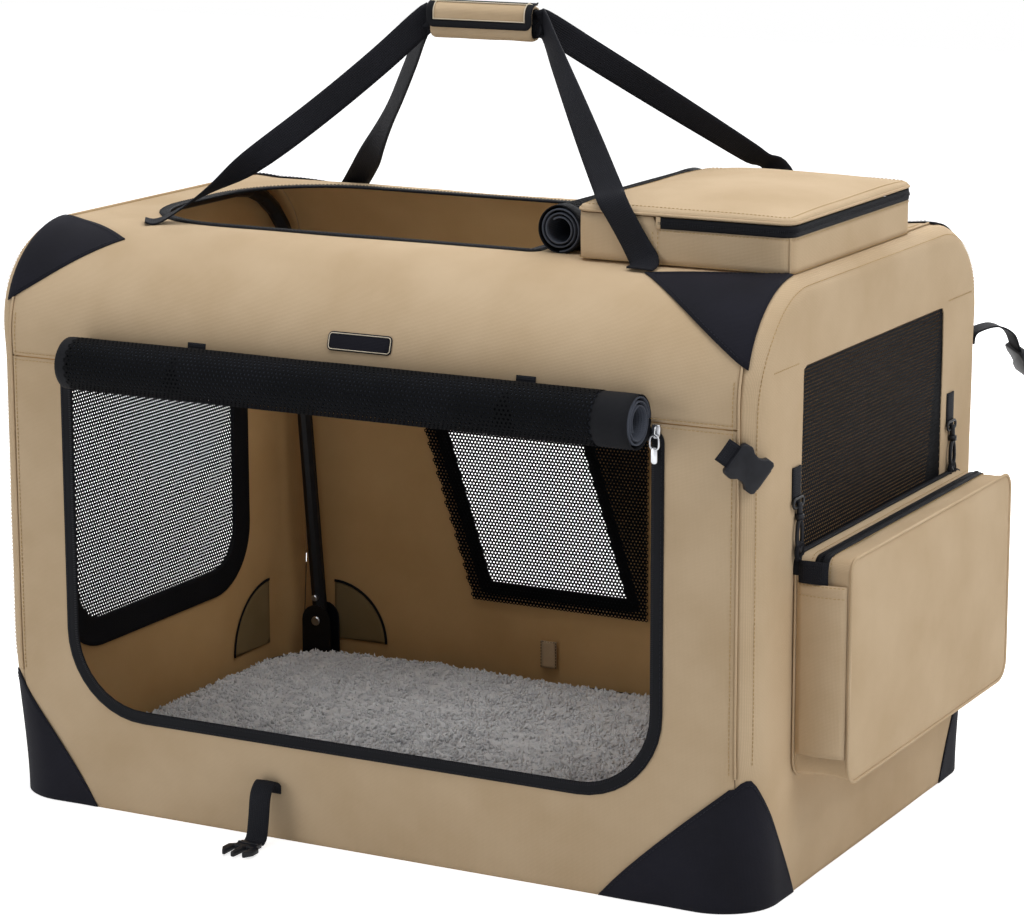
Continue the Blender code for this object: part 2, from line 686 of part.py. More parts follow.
def spiral(centre, outer, start_turn):
    """The end view of a rolled sheet, wound inwards from its outer edge."""
    pitch = ROLL_SHEET + ROLL_AIR
    steps = int(ROLL_TURNS * 14)
    outside, inside = [], []
    for i in range(steps + 1):
        turn = ROLL_TURNS * i / steps
        r = outer - pitch * turn
        angle = math.tau * (start_turn + turn)
        outside.append((centre[0] + r * math.cos(angle), centre[1] + r * math.sin(angle)))
        r -= ROLL_SHEET
        inside.append((centre[0] + r * math.cos(angle), centre[1] + r * math.sin(angle)))
    return outside, inside


def rolled_sheet(name, centre, outer, start_turn, low, high, axis, finish):
    outside, inside = spiral(centre, outer, start_turn)
    n = len(outside)
    ring = outside + inside[::-1]
    points = [place(axis, u, v, along) for along in (low, high) for u, v in ring]
    total = len(ring)
    faces = [(i, (i + 1) % total, total + (i + 1) % total, total + i) for i in range(total)]
    for end in (0, total):
        faces += [(end + i, end + i + 1, end + total - 2 - i, end + total - 1 - i) for i in range(n - 1)]
    made = mesh_object(name, points, faces, finish)
    smooth(made)
    return made


def front_roll():
    """The net door rolled up over the doorway, held by two looped ties."""
    centre = (FRONT_PLANE - GAP - ROLL_R, ROLL_HEIGHT)
    low, high = ROLL_MIDDLE_X - ROLL_LENGTH / 2, ROLL_MIDDLE_X + ROLL_LENGTH / 2
    rolled_sheet("front_door_roll", centre, ROLL_R, 0.0, low, high, "X", "black_net")
    inner, outer = ROLL_R + GAP, ROLL_R + GAP + TIE_SHEET
    opening = 42
    ring = arc(centre, outer, opening, 360 - opening, 3 * CORNER_STEPS)
    ring += arc(centre, inner, 360 - opening, opening, 3 * CORNER_STEPS)
    for name, x in (("roll_tie_left", TIE_LEFT_X), ("roll_tie_right", TIE_RIGHT_X)):
        smooth(prism(name, ring, x - TIE_WIDTH / 2, x + TIE_WIDTH / 2, "X", "black_webbing"))


def roof_roll():
    centre = (ROOF_ROLL_X, ROOF_Z + ROOF_ROLL_R)
    half = ROOF_ROLL_LENGTH / 2
    rolled_sheet("roof_door_roll", centre, ROOF_ROLL_R, 0.75, -half, half, "Y", "black_net")


def foot_patch(name, side, end, length):
    """A three-sided patch round a lower corner, cut by one slanting plane."""
    m, low = OVERRUN, PATCH_FOOT_HEM
    a, b, c = length, PATCH_FOOT_END, PATCH_FOOT_HEIGHT
    spots = [(-m, -m, low), (a * (1 + m / b), -m, low), (-m, b * (1 + m / a), low)]
    spots.append((-m, -m, c * (1 + m / a + m / b)))
    region = hull("region", [(side * (HALF_X - u), end * (HALF_Y - v), z) for u, v, z in spots])
    overlay(name, region, "black_cloth")


def top_patch(name, side, end, length):
    """A three-sided patch on the rounded top edge, its straight side along the end seam."""
    seam, tip = side * SEAM_X, side * (SEAM_X - length)
    slope = math.sqrt(0.5)
    high = slope * (HEIGHT - PATCH_TOP_Y)
    low = slope * (PATCH_TOP_DROP - HALF_Y)
    corner = [(seam, low), (seam, high), (tip, high)]
    near, far = slope * (HEIGHT - TOP_EDGE_R), slope * (HALF_Y + HEIGHT + OVERRUN)
    spots = []
    for x, t in corner:
        for s in (near, far):
            spots.append((x, end * slope * (s - t), slope * (s + t)))
    overlay(name, hull("region", spots), "black_cloth")


def patches():
    ends = ((-1, "left", PATCH_FOOT_LEFT, PATCH_TOP_LEFT), (1, "right", PATCH_FOOT_RIGHT, PATCH_TOP_RIGHT))
    for side, across, foot, top in ends:
        for end, along in ((-1, "front"), (1, "rear")):
            foot_patch(f"foot_patch_{across}_{along}", side, end, foot)
            top_patch(f"top_patch_{across}_{along}", side, end, top)


def case_outline(inset):
    half = CASE_DEPTH / 2 - inset
    low, high = (CASE_LEFT + inset, CASE_MIDDLE_Y - half), (CASE_RIGHT - inset, CASE_MIDDLE_Y + half)
    return rounded(low, high, [CASE_CORNER_R - inset] * 4, 2)


def roof_case():
    """The soft storage case on the roof: a tray, the zip round three sides, and the lid."""
    floor, rim = ROOF_Z, ROOF_Z + CASE_TRAY_HEIGHT
    top = rim + GAP + CASE_ZIP_HEIGHT
    reach, half = OVERRUN, CASE_DEPTH
    split = CASE_LEFT + CASE_HINGE_SIDE
    tray = prism("case_tray", case_outline(0), floor, top, "Z", "tan_cloth")
    inside = prism("hole", case_outline(CASE_WALL), floor + CASE_WALL, top + reach, "Z")
    cut(tray, inside, block("zip_room", (split, -half, rim), (CASE_RIGHT + reach, half, top + reach)))
    smooth(tray)
    band = prism("case_zip_band", case_outline(0), rim + GAP, top, "Z", "black_cloth")
    inside = prism("hole", case_outline(CASE_WALL), rim - reach, top + reach, "Z")
    low, high = (CASE_LEFT - reach, -half, rim - reach), (split + GAP, half, top + reach)
    cut(band, inside, block("hinge_side", low, high))
    smooth(band)
    low, high = top + GAP, top + GAP + CASE_LID_THICKNESS
    rows = [(low, 0), (low + CASE_LID_THICKNESS / 2, 0), (high, CASE_LID_THICKNESS / 2)]
    rings = [[(u, v, z) for u, v in case_outline(inset)] for z, inset in rows]
    smooth(stacked("case_lid", rings, "tan_cloth"))


def bag_outline(inset):
    half = BAG_DEPTH / 2 - inset
    x = HALF_X + BAG_STAND_OFF
    low, high = (x + inset, BAG_MIDDLE_Y - half), (x + BAG_THICKNESS - inset, BAG_MIDDLE_Y + half)
    return rounded(low, high, [BAG_CORNER_R - inset] * 4, 3)


def side_bag():
    """The bag on the right end: a hollow case with a zipped slit in its top."""
    edge = BAG_CORNER_R / 2
    rows = [(BAG_BOTTOM, edge), (BAG_BOTTOM + edge, 0), (BAG_TOP - edge, 0), (BAG_TOP, edge)]
    bag = stacked("side_bag", [[(u, v, z) for u, v in bag_outline(inset)] for z, inset in rows], "tan_cloth")
    hollow = prism("hollow", bag_outline(BAG_WALL + edge), BAG_BOTTOM + BAG_WALL, BAG_TOP - BAG_WALL, "Z")
    middle = HALF_X + BAG_STAND_OFF + BAG_THICKNESS / 2
    half_length, half_slit = BAG_SLIT_LENGTH / 2, BAG_SLIT / 2
    slit_low = (middle - half_slit, BAG_MIDDLE_Y - half_length, BAG_TOP - OVERRUN)
    slit_high = (middle + half_slit, BAG_MIDDLE_Y + half_length, BAG_TOP + OVERRUN)
    cut(bag, hollow, block("slit", slit_low, slit_high))
    smooth(bag)
    low = (slit_low[0] + GAP, slit_low[1] + GAP, BAG_TOP - BAG_WALL)
    high = (slit_high[0] - GAP, slit_high[1] - GAP, BAG_TOP + BINDING_PROUD)
    block("side_bag_zip", low, high, "black_cloth")


def bag_hook(name, y):
    """A webbing tab on the end wall, with the snap hook that carries the bag."""
    x = HALF_X + GAP
    low, high = (x, y - TAB_WIDTH / 2, HOOK_TOP), (x + TAB_SHEET, y + TAB_WIDTH / 2, TAB_TOP)
    tab = block(name, low, high, "black_webbing")
    low, high = BAG_TOP + GAP, HOOK_TOP + HOOK_BAR
    half = HOOK_WIDTH / 2
    outer = rounded((y - half, low), (y + half, high), [half - GAP] * 4, 3)
    inner_half = half - HOOK_BAR
    low, high = low + HOOK_BAR, high - HOOK_BAR
    inner = rounded((y - inner_half, low), (y + inner_half, high), [inner_half - GAP] * 4, 3)
    front = x + HOOK_SHEET
    ring = prism("ring", outer, x + TAB_SHEET / 2, front, "X")
    cut(ring, prism("hole", inner, x - OVERRUN, front + OVERRUN, "X"))
    join(tab, ring)
    smooth(tab)


def roof_point(x, y, lift):
    """A point above the cover's top at (x, y), lifted along its normal, and that normal."""
    over = max(abs(y) - (HALF_Y - TOP_EDGE_R), 0)
    turn = math.asin(over / TOP_EDGE_R)
    normal = Vector((0, math.copysign(math.sin(turn), y), math.cos(turn)))
    height = HEIGHT - TOP_EDGE_R * (1 - math.cos(turn))
    return Vector((x, y, height)) + normal * lift, normal


def strap_leg(foot_x, foot_y, inner):
    """A strap from its sewn foot up to the grip: its points, and the direction across it at each."""
    out = Vector((foot_x - inner.x, foot_y - inner.y, 0)).normalized() * STRAP_PAD
    lift = STRAP_LIFT + STRAP_SHEET / 2
    toe, normal = roof_point(foot_x + out.x, foot_y + out.y, lift)
    heel = roof_point(foot_x, foot_y, lift)[0]
    path = [toe, heel]
    for i in range(1, STRAP_STEPS):
        share = i / STRAP_STEPS
        path.append(heel.lerp(inner, share) - Vector((0, 0, 4 * STRAP_SAG * share * (1 - share))))
    path.append(inner)
    flat = out.cross(normal).normalized()
    flat = flat if flat.y < 0 else -flat
    upright = Vector((0, 0, 1))
    widths = [flat, flat] + [flat.lerp(upright, i / STRAP_STEPS) for i in range(1, STRAP_STEPS + 1)]
    return path, widths


def strap_leg_at_case(end, x, inner):
    """A leg that starts in front of the roof case, or behind it, and climbs that face."""
    face = CASE_MIDDLE_Y + end * (CASE_DEPTH / 2 + STRAP_STAND_OFF + STRAP_SHEET / 2)
    lift = STRAP_LIFT + STRAP_SHEET / 2
    top = ROOF_Z + CASE_TRAY_HEIGHT + CASE_ZIP_HEIGHT + CASE_LID_THICKNESS + 2 * GAP
    toe = roof_point(x, face + end * STRAP_PAD, lift)[0]
    bend = roof_point(x, face + end * STRAP_WIDTH / 6, lift + STRAP_WIDTH / 20)[0]
    rise = Vector((x - STRAP_WIDTH / 4, face, HEIGHT + STRAP_WIDTH / 2))
    lean = (x - inner.x) / (inner.z - HEIGHT)
    brow = Vector((x - lean * (top - HEIGHT), face, top)) + Vector((-lean, 0, 1)) * STRAP_WIDTH / 3
    crest = brow + Vector((-lean, 0, 1)) * STRAP_WIDTH / 3
    path = [toe, bend, rise, brow, crest]
    for i in range(1, STRAP_STEPS - 1):
        path.append(crest.lerp(inner, i / (STRAP_STEPS - 1)))
    path.append(inner)
    across, upright = Vector((1, 0, 0)), Vector((0, 0, 1))
    widths = [across] * 3 + [across.lerp(upright, i / STRAP_STEPS) for i in range(STRAP_STEPS + 1)]
    return path, widths


def carrying_straps():
    """Two straps, each sewn to the roof at both ends and held together by the grip."""
    half, offset = GRIP_LENGTH / 2, STRAP_SHEET / 2 + GAP
    for name, y in (("strap_front", GRIP_CENTRE_Y - offset), ("strap_rear", GRIP_CENTRE_Y + offset)):
        held = [Vector((x, y, GRIP_CENTRE_Z)) for x in (-half, half)]
        free = [Vector((x, y, GRIP_CENTRE_Z)) for x in (-half - STRAP_WIDTH / 3, half + STRAP_WIDTH / 3)]
        if name == "strap_front":
            left = strap_leg(STRAP_FOOT_LEFT, STRAP_FOOT_Y_FRONT, free[0])
            right = strap_leg_at_case(-1, STRAP_FOOT_FRONT_RIGHT, free[1])
        else:
            left = strap_leg(STRAP_FOOT_LEFT, STRAP_FOOT_Y_REAR, free[0])
            right = strap_leg_at_case(1, STRAP_FOOT_REAR_RIGHT, free[1])
        path = left[0] + held + right[0][::-1]
        widths = left[1] + [Vector((0, 0, 1))] * 2 + right[1][::-1]
        kept = range(len(left[0]) - 1, len(left[0]) + 3)
        smooth(ribbon(name, path, widths, STRAP_WIDTH, STRAP_SHEET, "black_webbing", kept))


def grip():
    """The padded sleeve round both straps, and the flap that closes over its front."""
    half_t, half_h, r = GRIP_THICKNESS / 2, GRIP_HEIGHT / 2, GRIP_CORNER_R
    y, z = GRIP_CENTRE_Y, GRIP_CENTRE_Z
    outer = rounded((y - half_t, z - half_h), (y + half_t, z + half_h), [r] * 4, 3)
    sleeve = prism("grip_sleeve", outer, -GRIP_LENGTH / 2 + GAP, GRIP_LENGTH / 2 - GAP, "X", "tan_cloth")
    slot_t, slot_h = STRAP_SHEET + 2 * GAP + GRIP_PLAY, STRAP_WIDTH / 2 + GRIP_PLAY
    cut(sleeve, block("slot", (-GRIP_LENGTH, y - slot_t, z - slot_h), (GRIP_LENGTH, y + slot_t, z + slot_h)))
    smooth(sleeve)
    near, far = r + GAP, r + GAP + GRIP_FLAP_SHEET
    centre = (y - half_t + r, z + half_h - r)
    hinge_y, end_z = y + half_t / 2, z + half_h - GRIP_FLAP_SHARE * GRIP_HEIGHT
    outline = [(hinge_y, centre[1] + near)] + arc(centre, near, 90, 180, 4) + [(centre[0] - near, end_z)]
    outline += [(centre[0] - far, end_z)] + arc(centre, far, 180, 90, 4) + [(hinge_y, centre[1] + far)]
    half = GRIP_LENGTH / 2 + GRIP_FLAP_SHEET
    smooth(prism("grip_flap", outline, -half, half, "X", "black_cloth"))


def buckle(name, middle, across, down, finish):
    """A side-release socket: a flat housing with its mouth at the lower end, placed by two directions."""
    out = across.cross(down).normalized()
    half_w, half_l, half_t = BUCKLE_WIDTH / 2, BUCKLE_LENGTH / 2, BUCKLE_THICKNESS / 2
    outline = rounded((-half_w, -half_l), (half_w, half_l), [half_t] * 4, 2)
    housing = prism(name, outline, -half_t, half_t, "Z", finish)
    mouth_low = (-half_w + half_t, 0, -half_t / 2)
    cut(housing, block("mouth", mouth_low, (half_w - half_t, half_l + OVERRUN, half_t / 2)))
    turn = Matrix((across, down, out)).transposed().to_4x4()
    housing.data.transform(Matrix.Translation(middle) @ turn)
    return housing


def fold_straps():
    """The straps and buckles that hold the crate shut when it is folded."""
    root = FRONT_PLANE - GAP
    reach, drop = FOLD_STRAP_LENGTH, FOLD_STRAP_ROOT
    path = [Vector((FOLD_STRAP_X, root - out * reach, high * drop)) for out, high in FOLD_STRAP_SHARES]
    widths = [Vector((1, 0, 0))] * len(path)
    smooth(ribbon("fold_strap_front", path, widths, FOLD_STRAP_WIDTH, FOLD_STRAP_SHEET, "black_webbing"))
    plug_y = root - reach - GAP
    half = BUCKLE_WIDTH / 2
    outline = [(FOLD_STRAP_X + u * half, plug_y - v * BUCKLE_LENGTH) for u, v in PLUG_SHARES]
    height = FOLD_STRAP_SHARES[-1][1] * drop
    low, high = height - PLUG_THICKNESS / 2, height + PLUG_THICKNESS / 2
    smooth(prism("buckle_plug_front", outline, low, high, "Z", "black_plastic"))

    lean = math.sqrt(0.5)
    corner = HALF_X - CORNER_HIGH_R * (1 - lean)
    depth = HALF_Y - CORNER_HIGH_R * (1 - lean)
    across, down = Vector((lean, lean, 0)), Vector((0, 0, -1))
    stand_off = GAP + BUCKLE_THICKNESS / 2
    middle = Vector((corner + lean * stand_off, -depth - lean * stand_off, BUCKLE_HEIGHT - BUCKLE_LENGTH))
    socket = buckle("buckle_socket_front", middle, across, down, "black_plastic")
    outwards = Vector((lean, -lean, 0))
    back = outwards * (BUCKLE_THICKNESS / 2 - FOLD_STRAP_SHEET / 2)
    tab_start = middle - down * (BUCKLE_LENGTH / 2 - GAP) - back
    tab_path = [tab_start, tab_start - down * FOLD_STRAP_WIDTH]
    tab = ribbon("tab", tab_path, [across] * 2, FOLD_STRAP_WIDTH, FOLD_STRAP_SHEET, "black_webbing")
    join(socket, tab)
    smooth(socket)

    start = Vector((corner, depth, BUCKLE_HEIGHT)) + Vector((lean, lean, 0)) * (GAP + FOLD_STRAP_SHEET / 2)
    path = [start + Vector((side * REAR_STRAP_LENGTH, back * REAR_STRAP_LENGTH, up * REAR_STRAP_LENGTH))
            for side, back, up in REAR_STRAP_SHARES]
    across = Vector((lean, -lean, 0))
    strap = ribbon("strap", path, [across] * len(path), FOLD_STRAP_WIDTH, FOLD_STRAP_SHEET, "black_webbing")
    down = (path[-1] - path[-2]).normalized()
    across = (across - down * across.dot(down)).normalized()
    middle = path[-1] + down * (BUCKLE_LENGTH / 2 - GAP)
    socket = buckle("buckle_socket_rear", middle, across, down, "black_plastic")
    join(socket, strap)
    smooth(socket)


def zip_slider():
    """The doorway's zip slider on the right jamb, with its hanging pull."""
    x = DOOR_MIDDLE_X + DOOR_WIDTH / 2 - BINDING_WIDTH / 2
    face = FRONT_PLANE - BINDING_PROUD - GAP
    low, high = ZIP_TOP - ZIP_BODY_HEIGHT, ZIP_TOP
    half = ZIP_BODY_WIDTH / 2
    near = face - ZIP_BODY_THICKNESS
    slider = block("zip_slider", (x - half, near, low), (x + half, face, high), "bright_steel")
    pull_half, sheet = ZIP_BODY_WIDTH / 3, ZIP_BODY_THICKNESS / 3
    pull_low, pull_high = (x - pull_half, low - ZIP_PULL_LENGTH), (x + pull_half, low + sheet)
    outline = rounded(pull_low, pull_high, [pull_half / 2] * 4, 3)
    back = face - ZIP_BODY_THICKNESS + sheet
    pull = prism("pull", outline, back - 2 * sheet, back, "Y")
    hole_low = (x - pull_half / 2, face - OVERRUN, low - ZIP_PULL_LENGTH + pull_half / 2)
    cut(pull, block("hole", hole_low, (x + pull_half / 2, face + OVERRUN, low - ZIP_PULL_LENGTH / 2)))
    join(slider, pull)
    smooth(slider)


def label():
    """The front label's place, left bare."""
    half_w, half_h = LABEL_WIDTH / 2, LABEL_HEIGHT / 2
    low = (LABEL_X - half_w, -HALF_Y - OVERRUN, LABEL_MIDDLE_Z - half_h)
    high = (LABEL_X + half_w, -HALF_Y / 2, LABEL_MIDDLE_Z + half_h)
    overlay("blank_label", block("region", low, high), "black_cloth")


def main():
    clear_scene()
    base_tubes()
    end_hoop(-1, "left_hoop", LEG_Y_OUTER_HOOP, "left")
    end_hoop(1, "right_hoop", LEG_Y_OUTER_HOOP - HOOP_NESTING, "right")
    fleece_mat()
    cover_walls()
    nets()
    bindings()
    front_roll()
    roof_roll()
    patches()
    roof_case()
    side_bag()
    bag_hook("bag_hook_front", TAB_FRONT_Y)
    bag_hook("bag_hook_rear", TAB_REAR_Y)
    carrying_straps()
    grip()
    fold_straps()
    zip_slider()
    label()


main()
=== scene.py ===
# %% [markdown]
# # A soft folding dog crate
# The crate is a sewn cloth cover held up by two hoops of steel tube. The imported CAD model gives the
# exact frame: tubes, brackets, rivets and buttons. Here each soft solid is replaced by cloth that
# looks like cloth, and every finish is built from nodes.

# %% Load the frame
import bisect
import math
import random

import bmesh
import bpy
from mathutils import Matrix, Vector, noise


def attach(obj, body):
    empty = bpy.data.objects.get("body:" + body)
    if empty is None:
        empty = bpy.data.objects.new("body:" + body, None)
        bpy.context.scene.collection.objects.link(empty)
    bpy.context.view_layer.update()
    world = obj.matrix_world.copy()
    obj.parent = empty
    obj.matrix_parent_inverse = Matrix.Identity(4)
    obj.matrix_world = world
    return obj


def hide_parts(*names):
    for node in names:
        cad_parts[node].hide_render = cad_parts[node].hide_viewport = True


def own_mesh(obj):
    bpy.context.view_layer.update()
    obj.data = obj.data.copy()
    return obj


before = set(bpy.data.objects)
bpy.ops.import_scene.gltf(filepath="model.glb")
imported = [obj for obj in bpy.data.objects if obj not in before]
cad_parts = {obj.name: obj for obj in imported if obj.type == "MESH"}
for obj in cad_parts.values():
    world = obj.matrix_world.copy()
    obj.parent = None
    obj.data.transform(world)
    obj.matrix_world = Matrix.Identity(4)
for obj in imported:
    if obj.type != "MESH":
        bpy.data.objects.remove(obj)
bpy.ops.object.select_all(action="DESELECT")
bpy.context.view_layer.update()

# %% [markdown]
# ## Finishes
# Cloth gets its look from its thread: a plain weave of thick polyester yarn, called oxford, shows as
# a fine grid of bumps, and its fuzz gives it a soft sheen at the edges. Colours are written as sRGB
# hex, as a colour picker shows them, and one function turns them into the linear values that Blender
# mixes light with. One small function adds a node, with its settings and its links.

# %% Colours and nodes
def linear(hex_colour):
    """An sRGB hex colour as linear red, green, blue and alpha."""
    channels = [int(hex_colour[i:i + 2], 16) / 255 for i in (1, 3, 5)]
    return [c / 12.92 if c <= 0.04045 else ((c + 0.055) / 1.055) ** 2.4 for c in channels] + [1.0]


def node(tree, kind, links=(), **settings):
    """Add a node; settings name its properties or inputs, and links are (input, socket it comes from)."""
    made = tree.nodes.new("ShaderNode" + kind)
    for name, value in settings.items():
        if hasattr(made, name):
            setattr(made, name, value)
        else:
            made.inputs[name.replace("_", " ")].default_value = value
    for name, socket in links:
        tree.links.new(socket, made.inputs[name])
    return made


def finish(name, **shader):
    """A new material: its node tree and its Principled shader, with constants on the shader's sockets."""
    made = bpy.data.materials.new(name)
    made.use_nodes = True
    principled = made.node_tree.nodes["Principled BSDF"]
    for key, value in shader.items():
        principled.inputs[key.replace("_", " ")].default_value = value
    return made, made.node_tree, principled


def vary(tree, vector, dark, light, scale, low=0.35, high=0.65):
    """A colour that drifts between two tones in soft blotches."""
    blotch = node(tree, "TexNoise", [("Vector", vector)], Scale=scale, Detail=4.0)
    share = node(tree, "MapRange", [("Value", blotch.outputs["Fac"])], From_Min=low, From_Max=high)
    mix = node(tree, "Mix", [("Factor", share.outputs[0])], data_type="RGBA")
    mix.inputs[6].default_value = linear(dark)
    mix.inputs[7].default_value = linear(light)
    return mix.outputs[2]


def bump(tree, height, distance, principled, strength=1.0):
    made = node(tree, "Bump", [("Height", height)], Distance=distance, Strength=strength)
    tree.links.new(made.outputs["Normal"], principled.inputs["Normal"])
    return made


def woven(name, dark, light, thread, relief, roughness=0.85, sheen=0.15, gloss=0.12):
    """Cloth of crossed yarns. thread is the spacing in metres, read from the piece's own UV map."""
    made, tree, principled = finish(name, Roughness=roughness, Sheen_Weight=sheen, Sheen_Roughness=0.5,
                                    Specular_IOR_Level=gloss)
    principled.inputs["Sheen Tint"].default_value = linear(light)
    flat = node(tree, "UVMap", uv_map="cloth").outputs["UV"]
    bands = math.tau / (20 * thread)
    waves = []
    for direction in ("X", "Y"):
        wave = node(tree, "TexWave", [("Vector", flat)], bands_direction=direction, Scale=bands)
        wave.inputs["Distortion"].default_value = 0.4
        wave.inputs["Detail"].default_value = 1.0
        waves.append(wave.outputs["Fac"])
    grid = node(tree, "Math", [(0, waves[0]), (1, waves[1])], operation="MULTIPLY")
    tone = vary(tree, flat, dark, light, 9.0)
    # The weave grid also scales the colour, darker between the yarns: painted shade in the weave's hollows, over the
    # cloth's own blotchy tone.
    shade = node(tree, "MapRange", [("Value", grid.outputs[0])], To_Min=0.92, To_Max=1.05)
    tone_and_weave_shade = node(tree, "VectorMath", [(0, tone), ("Scale", shade.outputs[0])], operation="SCALE")
    tree.links.new(tone_and_weave_shade.outputs[0], principled.inputs["Base Color"])
    bump(tree, grid.outputs[0], relief, principled)
    return made


# %% [markdown]
# The thread spacings are real sizes, drawn a little coarse where the real ones would vanish: oxford
# yarn is about 0.6 mm apart and is drawn at 1.4 mm.

# %% The materials
tan_oxford = woven("polyester_oxford_tan", "#C5AC8B", "#D0B898", 0.0014, 0.00016)
# The inside face is a second copy of the tan cloth, its colour set for how the crate's inside is lit: painted interior
# shade and warm bounce light over a slight tone of its own.
tan_inside_painted_light = woven("oxford_tan_inside_painted_light", "#D0A873", "#DAB37E", 0.0014, 0.00012, 0.7, 0.1)
black_oxford = woven("polyester_oxford_black", "#13131A", "#1A1A23", 0.0014, 0.0003, 0.75, 0.02)
black_webbing = woven("polypropylene_webbing_black", "#131419", "#1B1C22", 0.0022, 0.0005, 0.7, 0.02)
black_tape = woven("zip_tape_black", "#0F1014", "#16171B", 0.0012, 0.0003, 0.7, 0.02)
black_net = woven("knitted_polyester_net_black", "#08090B", "#0E0F12", 0.0008, 0.0002, 0.7, 0.0, 0.05)
rolled_net = woven("rolled_net_layers_grey", "#3E424C", "#535863", 0.0030, 0.0003, 0.8, 0.1)
tan_thread = woven("polyester_thread_tan", "#B39566", "#C2A577", 0.0005, 0.0001, 0.6, 0.3)
black_thread = woven("polyester_thread_black", "#1B1C22", "#2A2B33", 0.0005, 0.0001, 0.6, 0.3)


def plush(name):
    """Polyester sherpa pile: bright, clumped fibres that scatter light and shade each other."""
    made, tree, principled = finish(name, Roughness=0.95, Sheen_Weight=0.5, Sheen_Roughness=0.6)
    place = node(tree, "TexCoord").outputs["Object"]
    tone = vary(tree, place, "#C4C5C9", "#DEDFE1", 60.0, 0.3, 0.6)
    tree.links.new(tone, principled.inputs["Base Color"])
    curl = node(tree, "TexNoise", [("Vector", place)], Scale=260.0, Detail=3.0)
    bump(tree, curl.outputs["Fac"], 0.0015, principled)
    return made


white_fleece = plush("polyester_sherpa_white")


def coated(name, dark, light, scale, relief, **shader):
    """A hard surface with a fine grain, on the piece's own coordinates."""
    made, tree, principled = finish(name, **shader)
    place = node(tree, "TexCoord").outputs["Object"]
    tree.links.new(vary(tree, place, dark, light, scale), principled.inputs["Base Color"])
    grain = node(tree, "TexNoise", [("Vector", place)], Scale=scale * 12, Detail=2.0)
    bump(tree, grain.outputs["Fac"], relief, principled)
    return made


black_steel = coated("powder_coated_steel_black", "#0B0C0F", "#121317", 90.0, 0.00006, Roughness=0.40,
                     Specular_IOR_Level=0.3)
bright_steel = coated("zinc_plated_steel", "#A9ABB0", "#C6C8CC", 120.0, 0.00003, Roughness=0.28, Metallic=1.0)
black_acetal = coated("moulded_acetal_black", "#101116", "#17181E", 120.0, 0.00004, Roughness=0.45,
                      Specular_IOR_Level=0.2)

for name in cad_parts:
    solid = bpy.data.objects[name]
    metal = bright_steel if name.startswith(("lock_button", "pivot_rivet")) else black_steel
    solid.data.materials.clear()
    solid.data.materials.append(metal)

# %% [markdown]
# ## The cover's shape
# The cover is one long strip of cloth that runs up the front, over the roof and down the rear, with a
# panel closing each end. So a point on the strip needs only two numbers: x along the crate, and s, the
# distance travelled up and over. The corners round off towards the ends, most of all at the floor.

# %% Points on the cover
HALF_X, HALF_Y, HEIGHT, TOP_R = 0.455, 0.305, 0.636, 0.120
SEAM_X, SEAM_Z = 0.433, 0.500
STRAIGHT = HEIGHT - TOP_R
ARC = TOP_R * math.pi / 2
LONG = 2 * (STRAIGHT + ARC + HALF_Y - TOP_R)


def ease(value, start, end):
    """0 before start, 1 after end, and a smooth rise between."""
    share = min(max((value - start) / (end - start), 0), 1)
    return share * share * (3 - 2 * share)


def edge_radius(z):
    return 0.062 - 0.030 * ease(z, 0, 0.2) - 0.010 * ease(z, 0.48, 0.60)


def over_hoop(z):
    """The hoop's tube pushes the cloth out a little along the top edges."""
    return 0.0020 * ease(z, 0.50, 0.60)


def outline_point(s):
    """The end view of the cover at distance s: y, z and the outward direction there."""
    if s > LONG / 2:
        y, z, ny, nz = outline_point(LONG - s)
        return -y, z, -ny, nz
    if s <= STRAIGHT:
        return -HALF_Y, s, -1.0, 0.0
    turn = min((s - STRAIGHT) / TOP_R, math.pi / 2)
    flat = max(s - STRAIGHT - ARC, 0)
    y = TOP_R - HALF_Y - TOP_R * math.cos(turn) + flat
    return y, STRAIGHT + TOP_R * math.sin(turn), -math.cos(turn), math.sin(turn)


def on_strip(x, s, lift=0.0):
    """A point on the front, roof or rear, lifted along its normal."""
    y, z, ny, nz = outline_point(s)
    r = edge_radius(z)
    over = max(abs(x) - HALF_X + r, 0)
    drop = r - math.sqrt(r * r - over * over)
    tilt = over / r
    level = math.sqrt(1 - tilt * tilt)
    normal = Vector((math.copysign(tilt, x), ny * level, nz * level))
    lift += over_hoop(z) * ease(abs(x), 0.40, 0.43)
    return Vector((x, y - ny * drop, z - nz * drop)) + normal * lift


def on_end(side, y, z, lift=0.0):
    """A point on the left end (side -1) or right end (side 1)."""
    inner = HALF_Y - TOP_R
    if z <= STRAIGHT:
        depth, ny, nz = HALF_Y - abs(y), math.copysign(1, y), 0.0
    elif abs(y) > inner:
        away = Vector((abs(y) - inner, z - STRAIGHT))
        depth = TOP_R - away.length
        ny, nz = math.copysign(away.x, y) / away.length, away.y / away.length
    else:
        depth, ny, nz = HEIGHT - z, 0.0, 1.0
    r = edge_radius(z)
    fall = min(max(r - depth, 0) / r, 1)
    level = math.sqrt(1 - fall * fall)
    normal = Vector((side * level, ny * fall, nz * fall))
    lift += over_hoop(z) * ease(fall, 0, 0.5)
    return Vector((side * (HALF_X - r + r * level), y, z)) + normal * lift


def seam_depth(z):
    """How far in from the end view's outline the end seam lies."""
    r = edge_radius(z)
    return r - math.sqrt(r * r - max(r + SEAM_X - HALF_X, 0) ** 2)


def slack(p, amount=0.0012):
    """Cloth never lies dead flat: a slow swell and a few small ripples."""
    swell = noise.noise(p * 5.0) * amount
    return swell + noise.noise(p * 14.0 + Vector((7, 3, 5))) * amount * 0.4


print("strip length", round(LONG, 3))

# %% [markdown]
# ## Making cloth
# Each panel starts as a grid primitive. A panel with an opening is a grid bent into a ring: one long
# side becomes the outer edge, the other the edge of the opening, and the two ends are merged. The
# grid's flat place in metres goes into a UV map called cloth, so that the weave follows the sheet.

